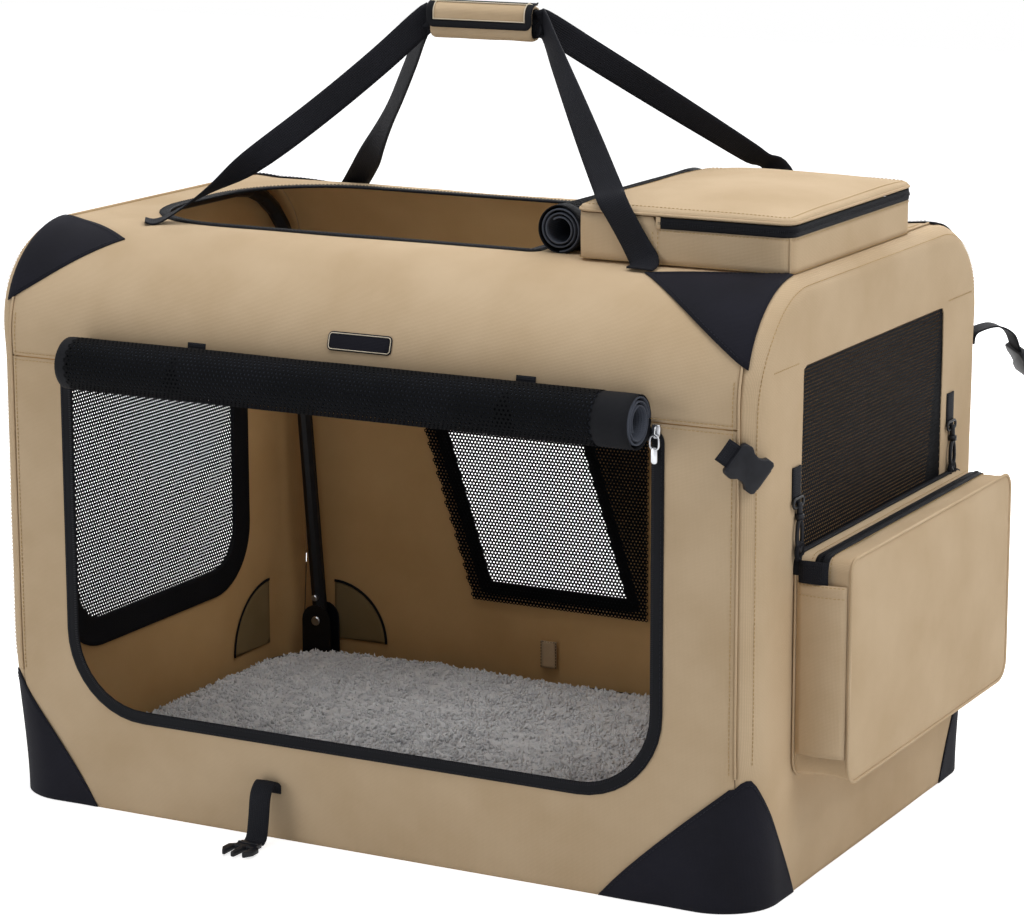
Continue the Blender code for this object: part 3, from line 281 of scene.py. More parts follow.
# %% Cloth helpers
def new_piece(obj, name, material, smooth=True):
    obj.name = name
    obj.data.name = name
    obj.data.materials.clear()
    for m in material if isinstance(material, (list, tuple)) else [material]:
        obj.data.materials.append(m)
    if smooth:
        obj.data.shade_smooth()
    return obj


def active(obj):
    bpy.ops.object.select_all(action="DESELECT")
    obj.select_set(True)
    bpy.context.view_layer.objects.active = obj


def grid_sheet(name, across, along, flat, lay, material, ring=False):
    """A grid whose point (u, v) lies at flat(u, v) on the uncut cloth and at lay(a, b) in space."""
    bpy.ops.mesh.primitive_grid_add(x_subdivisions=across, y_subdivisions=along, size=1)
    sheet = bpy.context.object
    uv = sheet.data.uv_layers.active
    uv.name = "cloth"
    spots = [flat(v.co.x + 0.5, v.co.y + 0.5) for v in sheet.data.vertices]
    for vert, (a, b) in zip(sheet.data.vertices, spots):
        vert.co = lay(a, b)
    for loop in sheet.data.loops:
        uv.data[loop.index].uv = spots[loop.vertex_index]
    if ring:
        active(sheet)
        bpy.ops.object.mode_set(mode="EDIT")
        bpy.ops.mesh.select_all(action="SELECT")
        bpy.ops.mesh.remove_doubles(threshold=0.00001)
        bpy.ops.object.mode_set(mode="OBJECT")
    return new_piece(sheet, name, material)


def face_towards(sheet, outside):
    """Turn the sheet over if its faces don't look towards outside(face centre)."""
    votes = sum(1 if f.normal.dot(outside(f.center)) > 0 else -1 for f in sheet.data.polygons)
    if votes < 0:
        sheet.data.flip_normals()


def spread_flat(piece):
    """Give each face its place in metres on its own plane, so that the weave runs evenly over a box."""
    uv = piece.data.uv_layers["cloth"]
    for face in piece.data.polygons:
        sizes = [abs(n) for n in face.normal]
        a, b = ((1, 2), (0, 2), (0, 1))[sizes.index(max(sizes))]
        for index in face.loop_indices:
            place = piece.data.vertices[piece.data.loops[index].vertex_index].co
            uv.data[index].uv = (place[a], place[b])


def thicken(piece, thickness, rim_material=0, offset=-1.0):
    active(piece)
    shell = piece.modifiers.new("thickness", "SOLIDIFY")
    shell.thickness, shell.offset, shell.material_offset = thickness, offset, rim_material
    shell.use_even_offset = False
    bpy.ops.object.modifier_apply(modifier=shell.name)


def cloth_area(sheet):
    return sum(f.area for f in sheet.data.polygons)


def settle(piece, body, slot, *nodes):
    """Ride on a body and stand for CAD nodes, which are hidden. The slot is not used."""
    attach(piece, body)
    if nodes:
        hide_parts(*nodes)
    return piece


def squash_with_fold(piece):
    """Give a piece its own copy of its mesh data."""
    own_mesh(piece)


def fold_flat(piece, slot="tan_cloth", nodes=()):
    settle(piece, "base", slot, *nodes)
    squash_with_fold(piece)


def mesh_piece(name, verts, faces, place, material, smooth=False):
    """An object made from points and faces; place(index, point) is a point's spot on the cloth map."""
    mesh = bpy.data.meshes.new(name)
    mesh.from_pydata(verts, [], faces)
    uv = mesh.uv_layers.new(name="cloth")
    for loop in mesh.loops:
        uv.data[loop.index].uv = place(loop.vertex_index, mesh.vertices[loop.vertex_index].co)
    obj = bpy.data.objects.new(name, mesh)
    bpy.context.collection.objects.link(obj)
    return new_piece(obj, name, material, smooth)


# %% Outlines
def rounded(low, high, radii, steps=10):
    """A rounded rectangle, its radii in the order low-low, high-low, high-high, low-high."""
    (u0, v0), (u1, v1) = low, high
    turns = ((u0, v0, 1, 1, 180), (u1, v0, -1, 1, 270), (u1, v1, -1, -1, 0), (u0, v1, 1, -1, 90))
    points = []
    for (u, v, su, sv, start), r in zip(turns, radii):
        for i in range(steps + 1):
            t = math.radians(start + 90 * i / steps)
            points.append((u + su * r + r * math.cos(t), v + sv * r + r * math.sin(t)))
    return points


def evenly(points, spacing):
    """The same closed outline with points about a spacing apart, its corners kept."""
    out = []
    for (ax, ay), (bx, by) in zip(points, points[1:] + points[:1]):
        steps = max(1, round(math.hypot(bx - ax, by - ay) / spacing))
        out += [(ax + (bx - ax) * i / steps, ay + (by - ay) * i / steps) for i in range(steps)]
    return [p for i, p in enumerate(out) if math.dist(p, out[i - 1]) > 1e-6]


def meet(outline, centre, towards):
    """Where the line from centre through a point meets a closed outline."""
    dx, dy = towards[0] - centre[0], towards[1] - centre[1]
    best = None
    for (ax, ay), (bx, by) in zip(outline, outline[1:] + outline[:1]):
        ex, ey = bx - ax, by - ay
        cross = dx * ey - dy * ex
        if abs(cross) < 1e-12:
            continue
        t = ((ax - centre[0]) * ey - (ay - centre[1]) * ex) / cross
        u = ((ax - centre[0]) * dy - (ay - centre[1]) * dx) / cross
        if t > 0 and -1e-9 <= u <= 1 + 1e-9 and (best is None or t < best):
            best = t
    return centre[0] + dx * best, centre[1] + dy * best


def ring_sheet(name, outer, inner, centre, rows, lay, material):
    """Cloth between an outer outline and an opening."""
    holes = [meet(inner, centre, p) for p in outer]
    outer, holes = outer + outer[:1], holes + holes[:1]
    count = len(outer)

    def flat(u, v):
        i = round(u * (count - 1))
        eased = v - math.sin(math.tau * v) / math.tau * 0.7
        return tuple(o + (h - o) * eased for o, h in zip(outer[i], holes[i]))

    return grid_sheet(name, count - 1, rows, flat, lay, material, ring=True)


# %% [markdown]
# ## Front, roof and rear
# The doorway and the roof opening are holes in the strip, and the slanting net window is a hole in
# the rear. The cloth is pulled tight by the hoops, so it bows only a little between its seams, and it
# dips where it is sewn down.

# %% Front, roof and rear panels
def door_outline(inset=0.0):
    r = 0.095 - inset
    low, high = (-0.367 + inset, 0.106 + inset), (0.353 - inset, 0.494 - inset)
    return rounded(low, high, [r, r, 0.014 - inset, 0.014 - inset])


def roof_outline(inset=0.0):
    """The roof opening in (x, y); its left end is wide and round."""
    big, small = 0.13 - inset, max(0.012 - inset, 0.001)
    return rounded((-0.385 + inset, -0.17 + inset), (0.14 - inset, 0.17 - inset), [big, small, small, big])


def rear_outline(inset=0.0):
    low, high, lean = 0.128 + inset, 0.48 - inset, 0.325
    left, right = -0.178 + inset, 0.03 - inset
    top = (high - 0.128) * lean
    return [(left - inset * lean, low), (right - inset * lean, low), (right - top, high), (left - top, high)]


def strip_lay(s_low, s_high, dips, bow=0.0):
    """Lay a flat (x, s) point on the strip, dipping at seams and bowing out between them."""
    def lay(x, s):
        p = on_strip(x, s)
        near = min([SEAM_X - abs(x), s - s_low, s_high - s] + [abs(s - d) for d in dips])
        hem = math.exp(-(max(near, 0) / 0.003) ** 2)
        middle = max(0.0, 1 - (x / SEAM_X) ** 2)
        return on_strip(x, s, slack(p) * min(1, near / 0.03) - 0.001 * hem + bow * middle)
    return lay


def box_outline(low, high, spacing=0.0075):
    return evenly([low, (high[0], low[1]), high, (low[0], high[1])], spacing)


PANEL_SHEET = 0.0016


def hang_panel(panel, solid, outside):
    face_towards(panel, lambda p: Vector(outside))
    area = round(cloth_area(panel), 3)
    thicken(panel, PANEL_SHEET, 1)
    fold_flat(panel, nodes=[solid])
    print(panel.name, "area", area)


EDGE = 0.0006
side = SEAM_X - EDGE
front = ring_sheet("front_panel", box_outline((-side, 0.0008), (side, SEAM_Z - EDGE)), door_outline(0.004),
                   (0, 0.3), 20, strip_lay(0, SEAM_Z, []), [tan_oxford, tan_inside_painted_light])
roof_low, roof_high = SEAM_Z + EDGE, LONG - SEAM_Z - EDGE
roof_hole = [(x, LONG / 2 + y) for x, y in roof_outline(0.003)]
roof = ring_sheet("roof_panel", box_outline((-side, roof_low), (side, roof_high)), evenly(roof_hole, 0.01),
                  (-0.12, LONG / 2), 34, strip_lay(roof_low, roof_high, []), [tan_oxford, tan_inside_painted_light])
rear_hole = [(x, LONG - z) for x, z in rear_outline(0.004)]
rear = ring_sheet("rear_panel", box_outline((-side, roof_high + 2 * EDGE), (side, LONG - 0.0008)), rear_hole,
                  (-0.13, LONG - 0.3), 30, strip_lay(roof_high, LONG, []), [tan_oxford, tan_inside_painted_light])
for panel, solid, outside, run in ((front, "front_wall", (0, -1, 0), SEAM_Z),
                                   (roof, "roof_wall", (0, 0, 1), round(roof_high - roof_low, 3)),
                                   (rear, "rear_wall", (0, 1, 0), SEAM_Z)):
    hang_panel(panel, solid, outside)

# %% [markdown]
# ## The two ends
# Each end panel starts at the seam, turns the corner and runs to its opening: a net door on the left,
# a net window on the right.

# %% End panels
def end_outline():
    """The end panel's seam line, in (y, z), the floor's edge last."""
    points = []
    for i in range(181):
        y, z, ny, nz = outline_point(LONG * i / 180)
        depth = seam_depth(z)
        points.append((y - ny * depth, max(z - nz * depth, 0.0008)))
    return evenly(points, 0.009)


def end_lay(side):
    def lay(y, z):
        p = on_end(side, y, z)
        near = min(abs(SEAM_X - abs(p.x)), 0.05)
        hem = math.exp(-(near / 0.003) ** 2)
        return on_end(side, y, z, slack(p + Vector((2, 2, 2))) * min(1, near / 0.02) - 0.001 * hem)
    return lay


left_hole = rounded((-0.198, 0.132), (0.198, 0.498), [0.08, 0.08, 0.004, 0.004])
right_hole = rounded((-0.198, 0.302), (0.188, 0.548), [0.05, 0.05, 0.006, 0.006])
for side, word, hole, centre in ((-1, "left", left_hole, (0, 0.32)),
                                 (1, "right", right_hole, (-0.005, 0.42))):
    panel = ring_sheet(f"{word}_end_panel", end_outline(), hole, centre, 24, end_lay(side),
                       [tan_oxford, tan_inside_painted_light])
    hang_panel(panel, f"{word}_wall", (side, 0, 0))

# %% [markdown]
# ## Tape, cord and thread
# Binding tape, piping and stitches all follow lines drawn on a sheet. A tape is a narrow grid whose
# middle stands a little proud. A piping is a grid wrapped into a tube. A stitch is one short bar with
# sloping ends, repeated along its line.

# %% Tape, piping and stitches
def run_of(points, closed):
    """A line's points, the distance to each, and the sideways direction at each."""
    line = points + points[:1] if closed else points
    last = len(line) - 1
    reach, sides = [0.0], []
    for a, b in zip(line, line[1:]):
        reach.append(reach[-1] + math.dist(a, b))
    for i in range(last + 1):
        before = line[(i - 1) % last] if closed else line[max(i - 1, 0)]
        after = line[(i + 1) % last] if closed else line[min(i + 1, last)]
        dx, dy = after[0] - before[0], after[1] - before[1]
        size = math.hypot(dx, dy)
        sides.append((-dy / size, dx / size))
    return line, reach, sides


def outwards(centre):
    return centre - Vector((0, 0, 0.3))


def tape(name, points, width, on, material, lift=0.0012, closed=True, rows=4, crown=0.0006, sheet=0.0012,
         outside=outwards):
    line, reach, sides = run_of(points, closed)
    last = len(line) - 1

    def lay(a, b):
        i = min(bisect.bisect_left(reach, a - 1e-9), last)
        (x, y), (nx, ny) = line[i], sides[i]
        return on(x + nx * b, y + ny * b, lift + crown * (1 - (2 * b / width) ** 2))

    def flat(u, v):
        return reach[round(u * last)], (v - 0.5) * width

    band = grid_sheet(name, last, rows, flat, lay, material, ring=closed)
    face_towards(band, outside)
    thicken(band, sheet)
    return band


def piping(name, path, radius, material, sides=8, closed=False):
    """A round cord along a path in space."""
    path = [Vector(p) for p in path]
    if closed:
        path += path[:2]
    last = len(path) - 1
    frames, reach, up = [], [0.0], None
    for i, p in enumerate(path):
        ahead = (path[min(i + 1, last)] - path[max(i - 1, 0)]).normalized()
        up = ahead.orthogonal() if up is None else up
        up = (up - ahead * up.dot(ahead)).normalized()
        frames.append((p, up.copy(), ahead.cross(up), radius))
        if i:
            reach.append(reach[-1] + (p - path[i - 1]).length)
    first, end = frames[0], frames[-1]
    frames = [(*first[:3], 0.0)] + frames + [(*end[:3], 0.0)]
    reach = [-1e-6] + reach + [reach[-1] + 1e-6]
    last += 2

    def lay(a, b):
        p, up, across, r = frames[min(bisect.bisect_left(reach, a - 1e-9), last)]
        angle = b / radius
        return p + (up * math.cos(angle) + across * math.sin(angle)) * r

    def flat(u, v):
        return reach[round(u * last)], v * math.tau * radius

    tube = grid_sheet(name, last, sides, flat, lay, material, ring=True)
    face_towards(tube, lambda c: c - min((f[0] for f in frames), key=lambda q: (q - c).length_squared))
    return tube


def bars(name, rows, material, pitch=0.0045, length=0.0032, width=0.0007, high=0.0006):
    """Short bars along lines: stitches, or the teeth of a zip. A row is (points, on, lift, closed)."""
    verts, faces = [], []
    for points, on, lift, closed in rows:
        line, reach, _ = run_of(points, closed)
        count = max(1, int(reach[-1] / pitch))

        def spot(t, rise):
            i = max(1, min(bisect.bisect_left(reach, t), len(line) - 1))
            share = (t - reach[i - 1]) / max(reach[i] - reach[i - 1], 1e-9)
            a, b = line[i - 1], line[i]
            return Vector(on(a[0] + (b[0] - a[0]) * share, a[1] + (b[1] - a[1]) * share, rise))

        for k in range(count):
            mid = (k + 0.5) * reach[-1] / count
            a, b = spot(mid - length / 2, lift), spot(mid + length / 2, lift)
            up = spot(mid, lift + 0.01) - spot(mid, lift)
            up.normalize()
            across = (b - a).normalized().cross(up) * (width / 2)
            inner_a, inner_b = a.lerp(b, 0.18) + up * high, a.lerp(b, 0.82) + up * high
            n = len(verts)
            verts += [a - across, a + across, b + across, b - across]
            crest = across * 0.6
            verts += [inner_a - crest, inner_a + crest, inner_b + crest, inner_b - crest]
            faces += [(n, n + 1, n + 2, n + 3), (n + 7, n + 6, n + 5, n + 4)]
            faces += [(n + i, n + 4 + i, n + 4 + (i + 1) % 4, n + (i + 1) % 4) for i in range(4)]
    obj = mesh_piece(name, verts, faces, lambda i, p: (p.x + p.y, p.z), material)
    face_towards(obj, outwards)
    return obj


def offset(points, distance, closed=True):
    """A line moved sideways, to the left of its direction."""
    line, _, sides = run_of(points, closed)
    moved = [(x + nx * distance, y + ny * distance) for (x, y), (nx, ny) in zip(line, sides)]
    return moved[:-1] if closed else moved


def straight(a, b, spacing=0.01):
    steps = max(2, round(math.dist(a, b) / spacing))
    return [(a[0] + (b[0] - a[0]) * i / steps, a[1] + (b[1] - a[1]) * i / steps) for i in range(steps + 1)]


def inside(outline, x, y):
    """Whether a flat point lies inside a closed outline."""
    hit = False
    for (ax, ay), (bx, by) in zip(outline, outline[1:] + outline[:1]):
        if (ay > y) != (by > y) and x < ax + (bx - ax) * (y - ay) / (by - ay):
            hit = not hit
    return hit


def net(name, outline, on, material, pitch=0.0046, hole=0.34):
    """Knitted net: a sheet of six-sided meshes, each with its own opening."""
    low = [min(p[i] for p in outline) for i in (0, 1)]
    high = [max(p[i] for p in outline) for i in (0, 1)]
    verts, flats, faces, known = [], [], [], {}
    r = pitch / math.sqrt(3)
    row = 0
    y = low[1]
    while y < high[1]:
        x = low[0] + (pitch / 2 if row % 2 else 0)
        while x < high[0]:
            if inside(outline, x, y):
                rims = []
                for size, shared in ((1.0, True), (hole, False)):
                    ring = []
                    for k in range(6):
                        t = math.radians(30 + 60 * k)
                        a, b = x + r * size * math.cos(t), y + r * size * math.sin(t)
                        key = (round(a, 5), round(b, 5))
                        if shared and key in known:
                            ring.append(known[key])
                            continue
                        known[key] = len(verts)
                        ring.append(len(verts))
                        flats.append((a, b))
                        verts.append(on(a, b))
                    rims.append(ring)
                outer, inner = rims
                faces += [(outer[k], outer[(k + 1) % 6], inner[(k + 1) % 6], inner[k]) for k in range(6)]
            x += pitch
        y += r * 1.5
        row += 1
    return mesh_piece(name, verts, faces, lambda i, p: flats[i], material)


def to_left(y, z, lift=0.0):
    return on_end(-1, y, z, lift)


def to_right(y, z, lift=0.0):
    return on_end(1, y, z, lift)


def to_rear(x, z, lift=0.0):
    return on_strip(x, LONG - z, lift)


def to_roof(x, y, lift=0.0):
    return on_strip(x, LONG / 2 + y, lift)


# %% [markdown]
# ## Seams
# The end panels are joined to the strip with a corded seam, and every seam is topstitched in tan
# thread, double across the front and rear.

# %% Seams
seam_rows = []
for side, word in ((-1, "left"), (1, "right")):
    run = [(side * SEAM_X, 0.145 + (LONG - 0.290) * i / 240) for i in range(241)]
    ridge = piping(f"seam_piping_{word}", [on_strip(x, s, 0.0003) for x, s in run], 0.0013, tan_oxford)
    fold_flat(ridge)
    for first, last in ((0.148, 0.548), (0.712, LONG - 0.712), (LONG - 0.548, LONG - 0.148)):
        x = side * (SEAM_X - 0.006)
        seam_rows.append((straight((x, first), (x, last)), on_strip, 0.0004, False))
    on = to_right if side > 0 else to_left
    edge = [p for p in offset(end_outline()[4:-4], -0.010, closed=False) if p[1] > 0.15]
    seam_rows.append((edge, on, 0.0006, False))
for s in (SEAM_Z, LONG - SEAM_Z):
    for shift in (-0.004, 0.004):
        seam_rows.append((straight((-0.428, s + shift), (0.428, s + shift)), on_strip, 0.0004, False))
for first, last in ((-0.272, -0.210), (0.200, 0.272)):
    seam_rows.append((straight((first, 0.553), (last, 0.553)), to_right, 0.0006, False))
seam_rows.append((straight((-0.27, 0.553), (0.27, 0.553)), to_left, 0.0006, False))
fold_flat(bars("seam_stitches", seam_rows, tan_thread))

# %% [markdown]
# ## Patches
# Black oxford patches guard the corners: three-sided ones on the rounded top edges, and ones that turn
# round each lower corner. Each has a turned hem with a row of stitches along it.

# %% Patches
def corner_point(side, end, w, z, lift=0.0):
    """A point round an upright corner; w runs from the corner's middle, front or rear side negative."""
    r = edge_radius(z)
    half = r * math.pi / 4
    angle = math.pi / 4 + min(max(w, -half), half) / r
    past = w - min(max(w, -half), half)
    x = HALF_X - r + r * math.sin(angle) + (past if past < 0 else 0)
    y = HALF_Y - r + r * math.cos(angle) - (past if past > 0 else 0)
    normal = Vector((side * math.sin(angle), end * math.cos(angle), 0))
    return Vector((side * x, end * y, z)) + normal * lift


def foot_patch(side, end, along, name):
    front, back, peak = along - 0.0133, 0.0867, 0.150

    def top(w):
        share = 1 - (w / -front if w < 0 else w / back)
        rise = peak * share ** 0.9
        blunt = peak * (0.955 - 0.10 * (w / 0.018) ** 2)
        return max(0.0014, min(rise, blunt) if abs(w) < 0.018 else rise)

    def flat(u, v):
        w = -front + (front + back) * u
        return w, 0.001 + (top(w) - 0.001) * v

    def lay(w, z):
        return corner_point(side, end, w, z, 0.0016 + 0.0003 * math.sin(w * 90))

    patch = grid_sheet(name, 44, 14, flat, lay, black_oxford)
    face_towards(patch, outwards)
    thicken(patch, 0.0012)
    across = [-front + 0.012 + (front + back - 0.022) * i / 60 for i in range(61)]
    edge = [(w, max(top(w) - 0.005, 0.002)) for w in across]
    rows = [(edge, lambda w, z, lift: corner_point(side, end, w, z, lift), 0.0019, False)]
    return patch, rows


patch_rows = []
for side, word, along in ((-1, "left", 0.120), (1, "right", 0.172)):
    for end, where in ((-1, "front"), (1, "rear")):
        name = f"foot_patch_{word}_{where}"
        patch, rows = foot_patch(side, end, along, name + "_cloth")
        fold_flat(patch, slot="black_cloth", nodes=[name])
        patch_rows += rows


def top_patch(side, end, reach, tip, name):
    low, high = 0.560, 0.698

    def span(d):
        t = d / reach
        a = low + (tip - low) * t ** 1.12
        b = high + (tip - high) * t ** 1.5
        half = max((b - a) / 2, 0.0012)
        blunt = 0.016 * math.sqrt(max(1 - ((t - 0.86) / 0.14) ** 2, 0.001)) if t > 0.86 else half
        middle = (a + b) / 2
        return middle - min(half, blunt), middle + min(half, blunt)

    def flat(u, v):
        d = reach * u
        a, b = span(d)
        return side * (SEAM_X + 0.006 - d), a + (b - a) * v

    def on(x, s, lift=0.0018):
        return on_strip(x, s if end < 0 else LONG - s, lift)

    patch = grid_sheet(name, 30, 16, flat, on, black_oxford)
    face_towards(patch, outwards)
    thicken(patch, 0.0012)
    rows = []
    for k, sign in ((0, 1), (1, -1)):
        edge = [(side * (SEAM_X - 0.004 - d), span(d + 0.01)[k] + sign * 0.005) for d in
                [reach * 0.86 * i / 40 for i in range(41)]]
        rows.append((edge, on, 0.0021, False))
    return patch, rows


for side, word, reach, tip in ((-1, "left", 0.112, 0.652), (1, "right", 0.150, 0.672)):
    for end, where in ((-1, "front"), (1, "rear")):
        name = f"top_patch_{word}_{where}"
        patch, rows = top_patch(side, end, reach, tip, name + "_cloth")
        fold_flat(patch, slot="black_cloth", nodes=[name])
        patch_rows += rows
fold_flat(bars("patch_stitches", patch_rows, black_thread), slot="black_cloth")

# %% [markdown]
# ## Bindings and zips
# The doorway and the roof opening are bound in black tape with the fixed half of a coil zip at the
# tape's inner edge. The tape's outer edge is stitched down.

# %% Bindings
door_line = evenly(door_outline(0.0058), 0.006)
binding = tape("doorway_binding", door_line, 0.0140, on_strip, black_tape, 0.0012, crown=0.0009, sheet=0.0022)
fold_flat(binding, slot="black_cloth", nodes=["doorway_zip_tape"])
coil = bars("doorway_coil", [(evenly(door_outline(0.0106), 0.004), on_strip, 0.0010, True)], black_acetal,
            0.0020, 0.0011, 0.0042, 0.0012)
fold_flat(coil, slot="black_cloth")
roof_line = evenly(roof_outline(0.0045), 0.006)
binding = tape("roof_opening_binding", roof_line, 0.0120, to_roof, black_tape, 0.0010, crown=0.0008,
               sheet=0.0022)
fold_flat(binding, slot="black_cloth", nodes=["roof_zip_tape"])
coil = bars("roof_opening_coil", [(evenly(roof_outline(0.0085), 0.004), to_roof, 0.0008, True)], black_acetal,
            0.0020, 0.0011, 0.0040, 0.0011)
fold_flat(coil, slot="black_cloth")
rows = [(evenly(door_outline(0.0015), 0.006), on_strip, 0.0019, True),
        (evenly(roof_outline(0.001), 0.006), to_roof, 0.0017, True)]
fold_flat(bars("binding_stitches", rows, black_thread), slot="black_cloth")

rear_edge = tape("rear_window_binding", evenly(rear_outline(0.003), 0.006), 0.016, to_rear, black_tape,
                 0.0010, sheet=0.0018)
fold_flat(rear_edge, slot="black_cloth")

# %% [markdown]
# ## Nets
# The nets are knitted in six-sided meshes with small openings, so that they look black with pale dots
# against the light. The rear window's net lies inside the wall and is larger than the opening, so its
# right part covers cloth. The meshes are 4.6 mm apart, and 4.9 mm on the rolled doors. Real net is
# finer, but finer meshes would not show.


right_outline = rounded((-0.204, 0.296), (0.194, 0.553), [0.053, 0.053, 0.004, 0.004])
window = net("right_window_mesh", right_outline, lambda y, z: to_right(y, z, -0.0012), black_net)
fold_flat(window, slot="black_net", nodes=["right_window_net"])

rear_net_outline = [(-0.192, 0.117), (0.046, 0.117), (0.046, 0.480), (-0.310, 0.480)]
rear_window = net("rear_window_mesh", rear_net_outline, lambda x, z: to_rear(x, z, -0.0062), black_net,
                  hole=0.42)
fold_flat(rear_window, slot="black_net", nodes=["rear_window_net"])

door_net = net("left_door_mesh", rounded((-0.185, 0.145), (0.185, 0.498), [0.065, 0.065, 0.004, 0.004]),
               lambda y, z: to_left(y, z, -0.0006), black_net)
settle(door_net, "left_end_door", "black_net")
squash_with_fold(door_net)
left_line = evenly(rounded((-0.1835, 0.1435), (0.1835, 0.4965), [0.0635, 0.0635, 0.004, 0.004]), 0.006)
band = tape("left_door_binding", left_line, 0.034, to_left, black_tape, 0.0006, rows=6, sheet=0.0040)
settle(band, "left_end_door", "black_cloth", "left_door")
squash_with_fold(band)
header = tape("left_door_header_tape", straight((-0.2, 0.506), (0.2, 0.506), 0.008), 0.011, to_left,
              black_tape, 0.0014, closed=False)
settle(header, "left_door_edge", "black_cloth", "left_door_header")

# %% [markdown]
# ## Lofted pieces
# A loft is a grid wrapped round an outline: its rings step in towards the middle until they close. An
# upright wall can also be unrolled, so that tapes and stitches follow it by distance and height.

# %% Lofts and walls
def loft(name, outline, profile, place, material):
    """A skin round an outline; the profile lists (inset, share closed up to the middle, height) rings."""
    line, reach, sides = run_of(outline, True)
    last, rings = len(line) - 1, len(profile) - 1
    middle = [sum(p[i] for p in outline) / len(outline) for i in (0, 1)]
    size = min(max(p[i] for p in outline) - min(p[i] for p in outline) for i in (0, 1)) / 2
    down = [0.0]
    for (i0, s0, h0), (i1, s1, h1) in zip(profile, profile[1:]):
        down.append(down[-1] + max(1e-6, math.hypot(i1 - i0 + (s1 - s0) * size, h1 - h0)))

    def lay(a, b):
        i = min(bisect.bisect_left(reach, a - 1e-9), last)
        inset, share, height = profile[min(bisect.bisect_left(down, b - 1e-9), rings)]
        u, v = line[i][0] + sides[i][0] * inset, line[i][1] + sides[i][1] * inset
        return place(u + (middle[0] - u) * share, v + (middle[1] - v) * share, height)

    def flat(u, v):
        return reach[round(u * last)], down[round(v * rings)]

    skin = grid_sheet(name, last, rings, flat, lay, material, ring=True)
    heart = sum((f.center for f in skin.data.polygons), Vector()) / len(skin.data.polygons)
    face_towards(skin, lambda c: c - heart)
    spread_flat(skin)
    return skin


def wall_of(outline, place):
    """An upright wall unrolled: (distance along its outline, height) gives a point, lifted outwards."""
    line, reach, sides = run_of(outline, True)

    def on(t, height, lift=0.0):
        t %= reach[-1]
        i = max(1, min(bisect.bisect_left(reach, t), len(line) - 1))
        share = (t - reach[i - 1]) / (reach[i] - reach[i - 1])
        u, v = (line[i - 1][k] + (line[i][k] - line[i - 1][k]) * share for k in (0, 1))
        nu, nv = (-(sides[i - 1][k] + (sides[i][k] - sides[i - 1][k]) * share) for k in (0, 1))
        return place(u + nu * lift, v + nv * lift, height)

    def along(u, v):
        return reach[min(range(len(line) - 1), key=lambda i: math.dist(line[i], (u, v)))]

    return on, along, reach[-1]


def upright(u, v, height):
    return Vector((u, v, height))


def sideways(u, v, height):
    return Vector((height, u, v))


def from_middle(low, high):
    middle = (Vector(low) + Vector(high)) / 2
    return lambda c: c - middle


# %% [markdown]
# ## Rolled doors
# Each door is rolled up: a spiral sheet, with a knitted mesh surface between plain tape bands at both
# ends. The front one is held by two webbing ties, the roof one lies beside the case.

# %% Rolled doors
def from_axis(centre, low, high, place):
    """The direction away from a roll's own axis."""
    middle = place((low + high) / 2, *centre)
    axis = place(1, 0, 0) - place(0, 0, 0)
    return lambda c: (c - middle) - axis * (c - middle).dot(axis)


def rolled(name, centre, radius, start, low, high, place, turns=2.6, step=0.0044):
    """A spiral sheet, its outer turn first."""
    rows, cells = round(turns * 26), 60

    def flat(u, v):
        return low + (high - low) * u, v * turns * math.tau * radius

    def lay(along, arc):
        turn = arc / (math.tau * radius)
        wave = noise.noise(Vector((along * 9, turn * 0.8, radius * 40)))
        r = radius - 0.0004 - step * turn + 0.0008 * wave * min(1, turn)
        angle = math.tau * (start + turn)
        return place(along, centre[0] + r * math.cos(angle), centre[1] + r * math.sin(angle))

    sheet = grid_sheet(name, cells, rows, flat, lay, rolled_net)
    face_towards(sheet, from_axis(centre, low, high, place))
    thicken(sheet, 0.0016)
    return sheet


def roll_mesh(name, centre, radius, low, high, place, band=0.026):
    """The knitted surface of a roll, and the tape bands at its ends."""
    girth = math.tau * radius

    def on(along, arc, lift=0.0):
        sink = 0.0005 * noise.noise(Vector((along * 9, arc * 30, 3)))
        r, angle = radius + lift + sink, arc / radius
        return place(along, centre[0] + r * math.cos(angle), centre[1] + r * math.sin(angle))

    near, far = low + 0.014, high - band
    lattice = net(name + "_mesh", [(near, 0), (far, 0), (far, girth), (near, girth)],
                  lambda a, b: on(a, b, 0.0005), black_net, pitch=0.0049, hole=0.46)
    thicken(lattice, 0.0007)
    ends = []
    for at, width in ((low + 0.008, 0.015), (high - band / 2, band)):
        ring = [(at, girth * i / 48) for i in range(49)]
        ends.append(tape(name + "_band", ring, width, on, black_tape, 0.0007, closed=False, crown=0.0003,
                         sheet=0.0010, outside=from_axis(centre, low, high, place)))
    return lattice, ends, on


def front_place(along, y, z):
    return Vector((along, y, z))


def roof_place(along, x, z):
    return Vector((x, along, z))


FRONT_ROLL, FRONT_ROLL_R, FRONT_ENDS = (-0.3323, 0.505), 0.0270, (-0.337, 0.339)
ROOF_ROLL, ROOF_ROLL_R, ROOF_ENDS = (0.1655, 0.6608), 0.0245, (-0.165, 0.165)

front_roll = rolled("front_roll_sheet", FRONT_ROLL, FRONT_ROLL_R, 0.0, *FRONT_ENDS, front_place)
fold_flat(front_roll, slot="black_net", nodes=["front_door_roll"])
lattice, bands, on_roll = roll_mesh("front_roll", FRONT_ROLL, FRONT_ROLL_R, *FRONT_ENDS, front_place,
                                   band=0.040)
for piece in [lattice] + bands:
    fold_flat(piece, slot="black_net")


def under_turn(along, arc, lift=0.0):
    """A tie shows above the roll and passes under its outer turn in front."""
    angle = math.degrees(arc / FRONT_ROLL_R)
    return on_roll(along, arc, lift - 0.0044 * ease(angle, 60, 78) * (1 - ease(angle, 290, 310)))


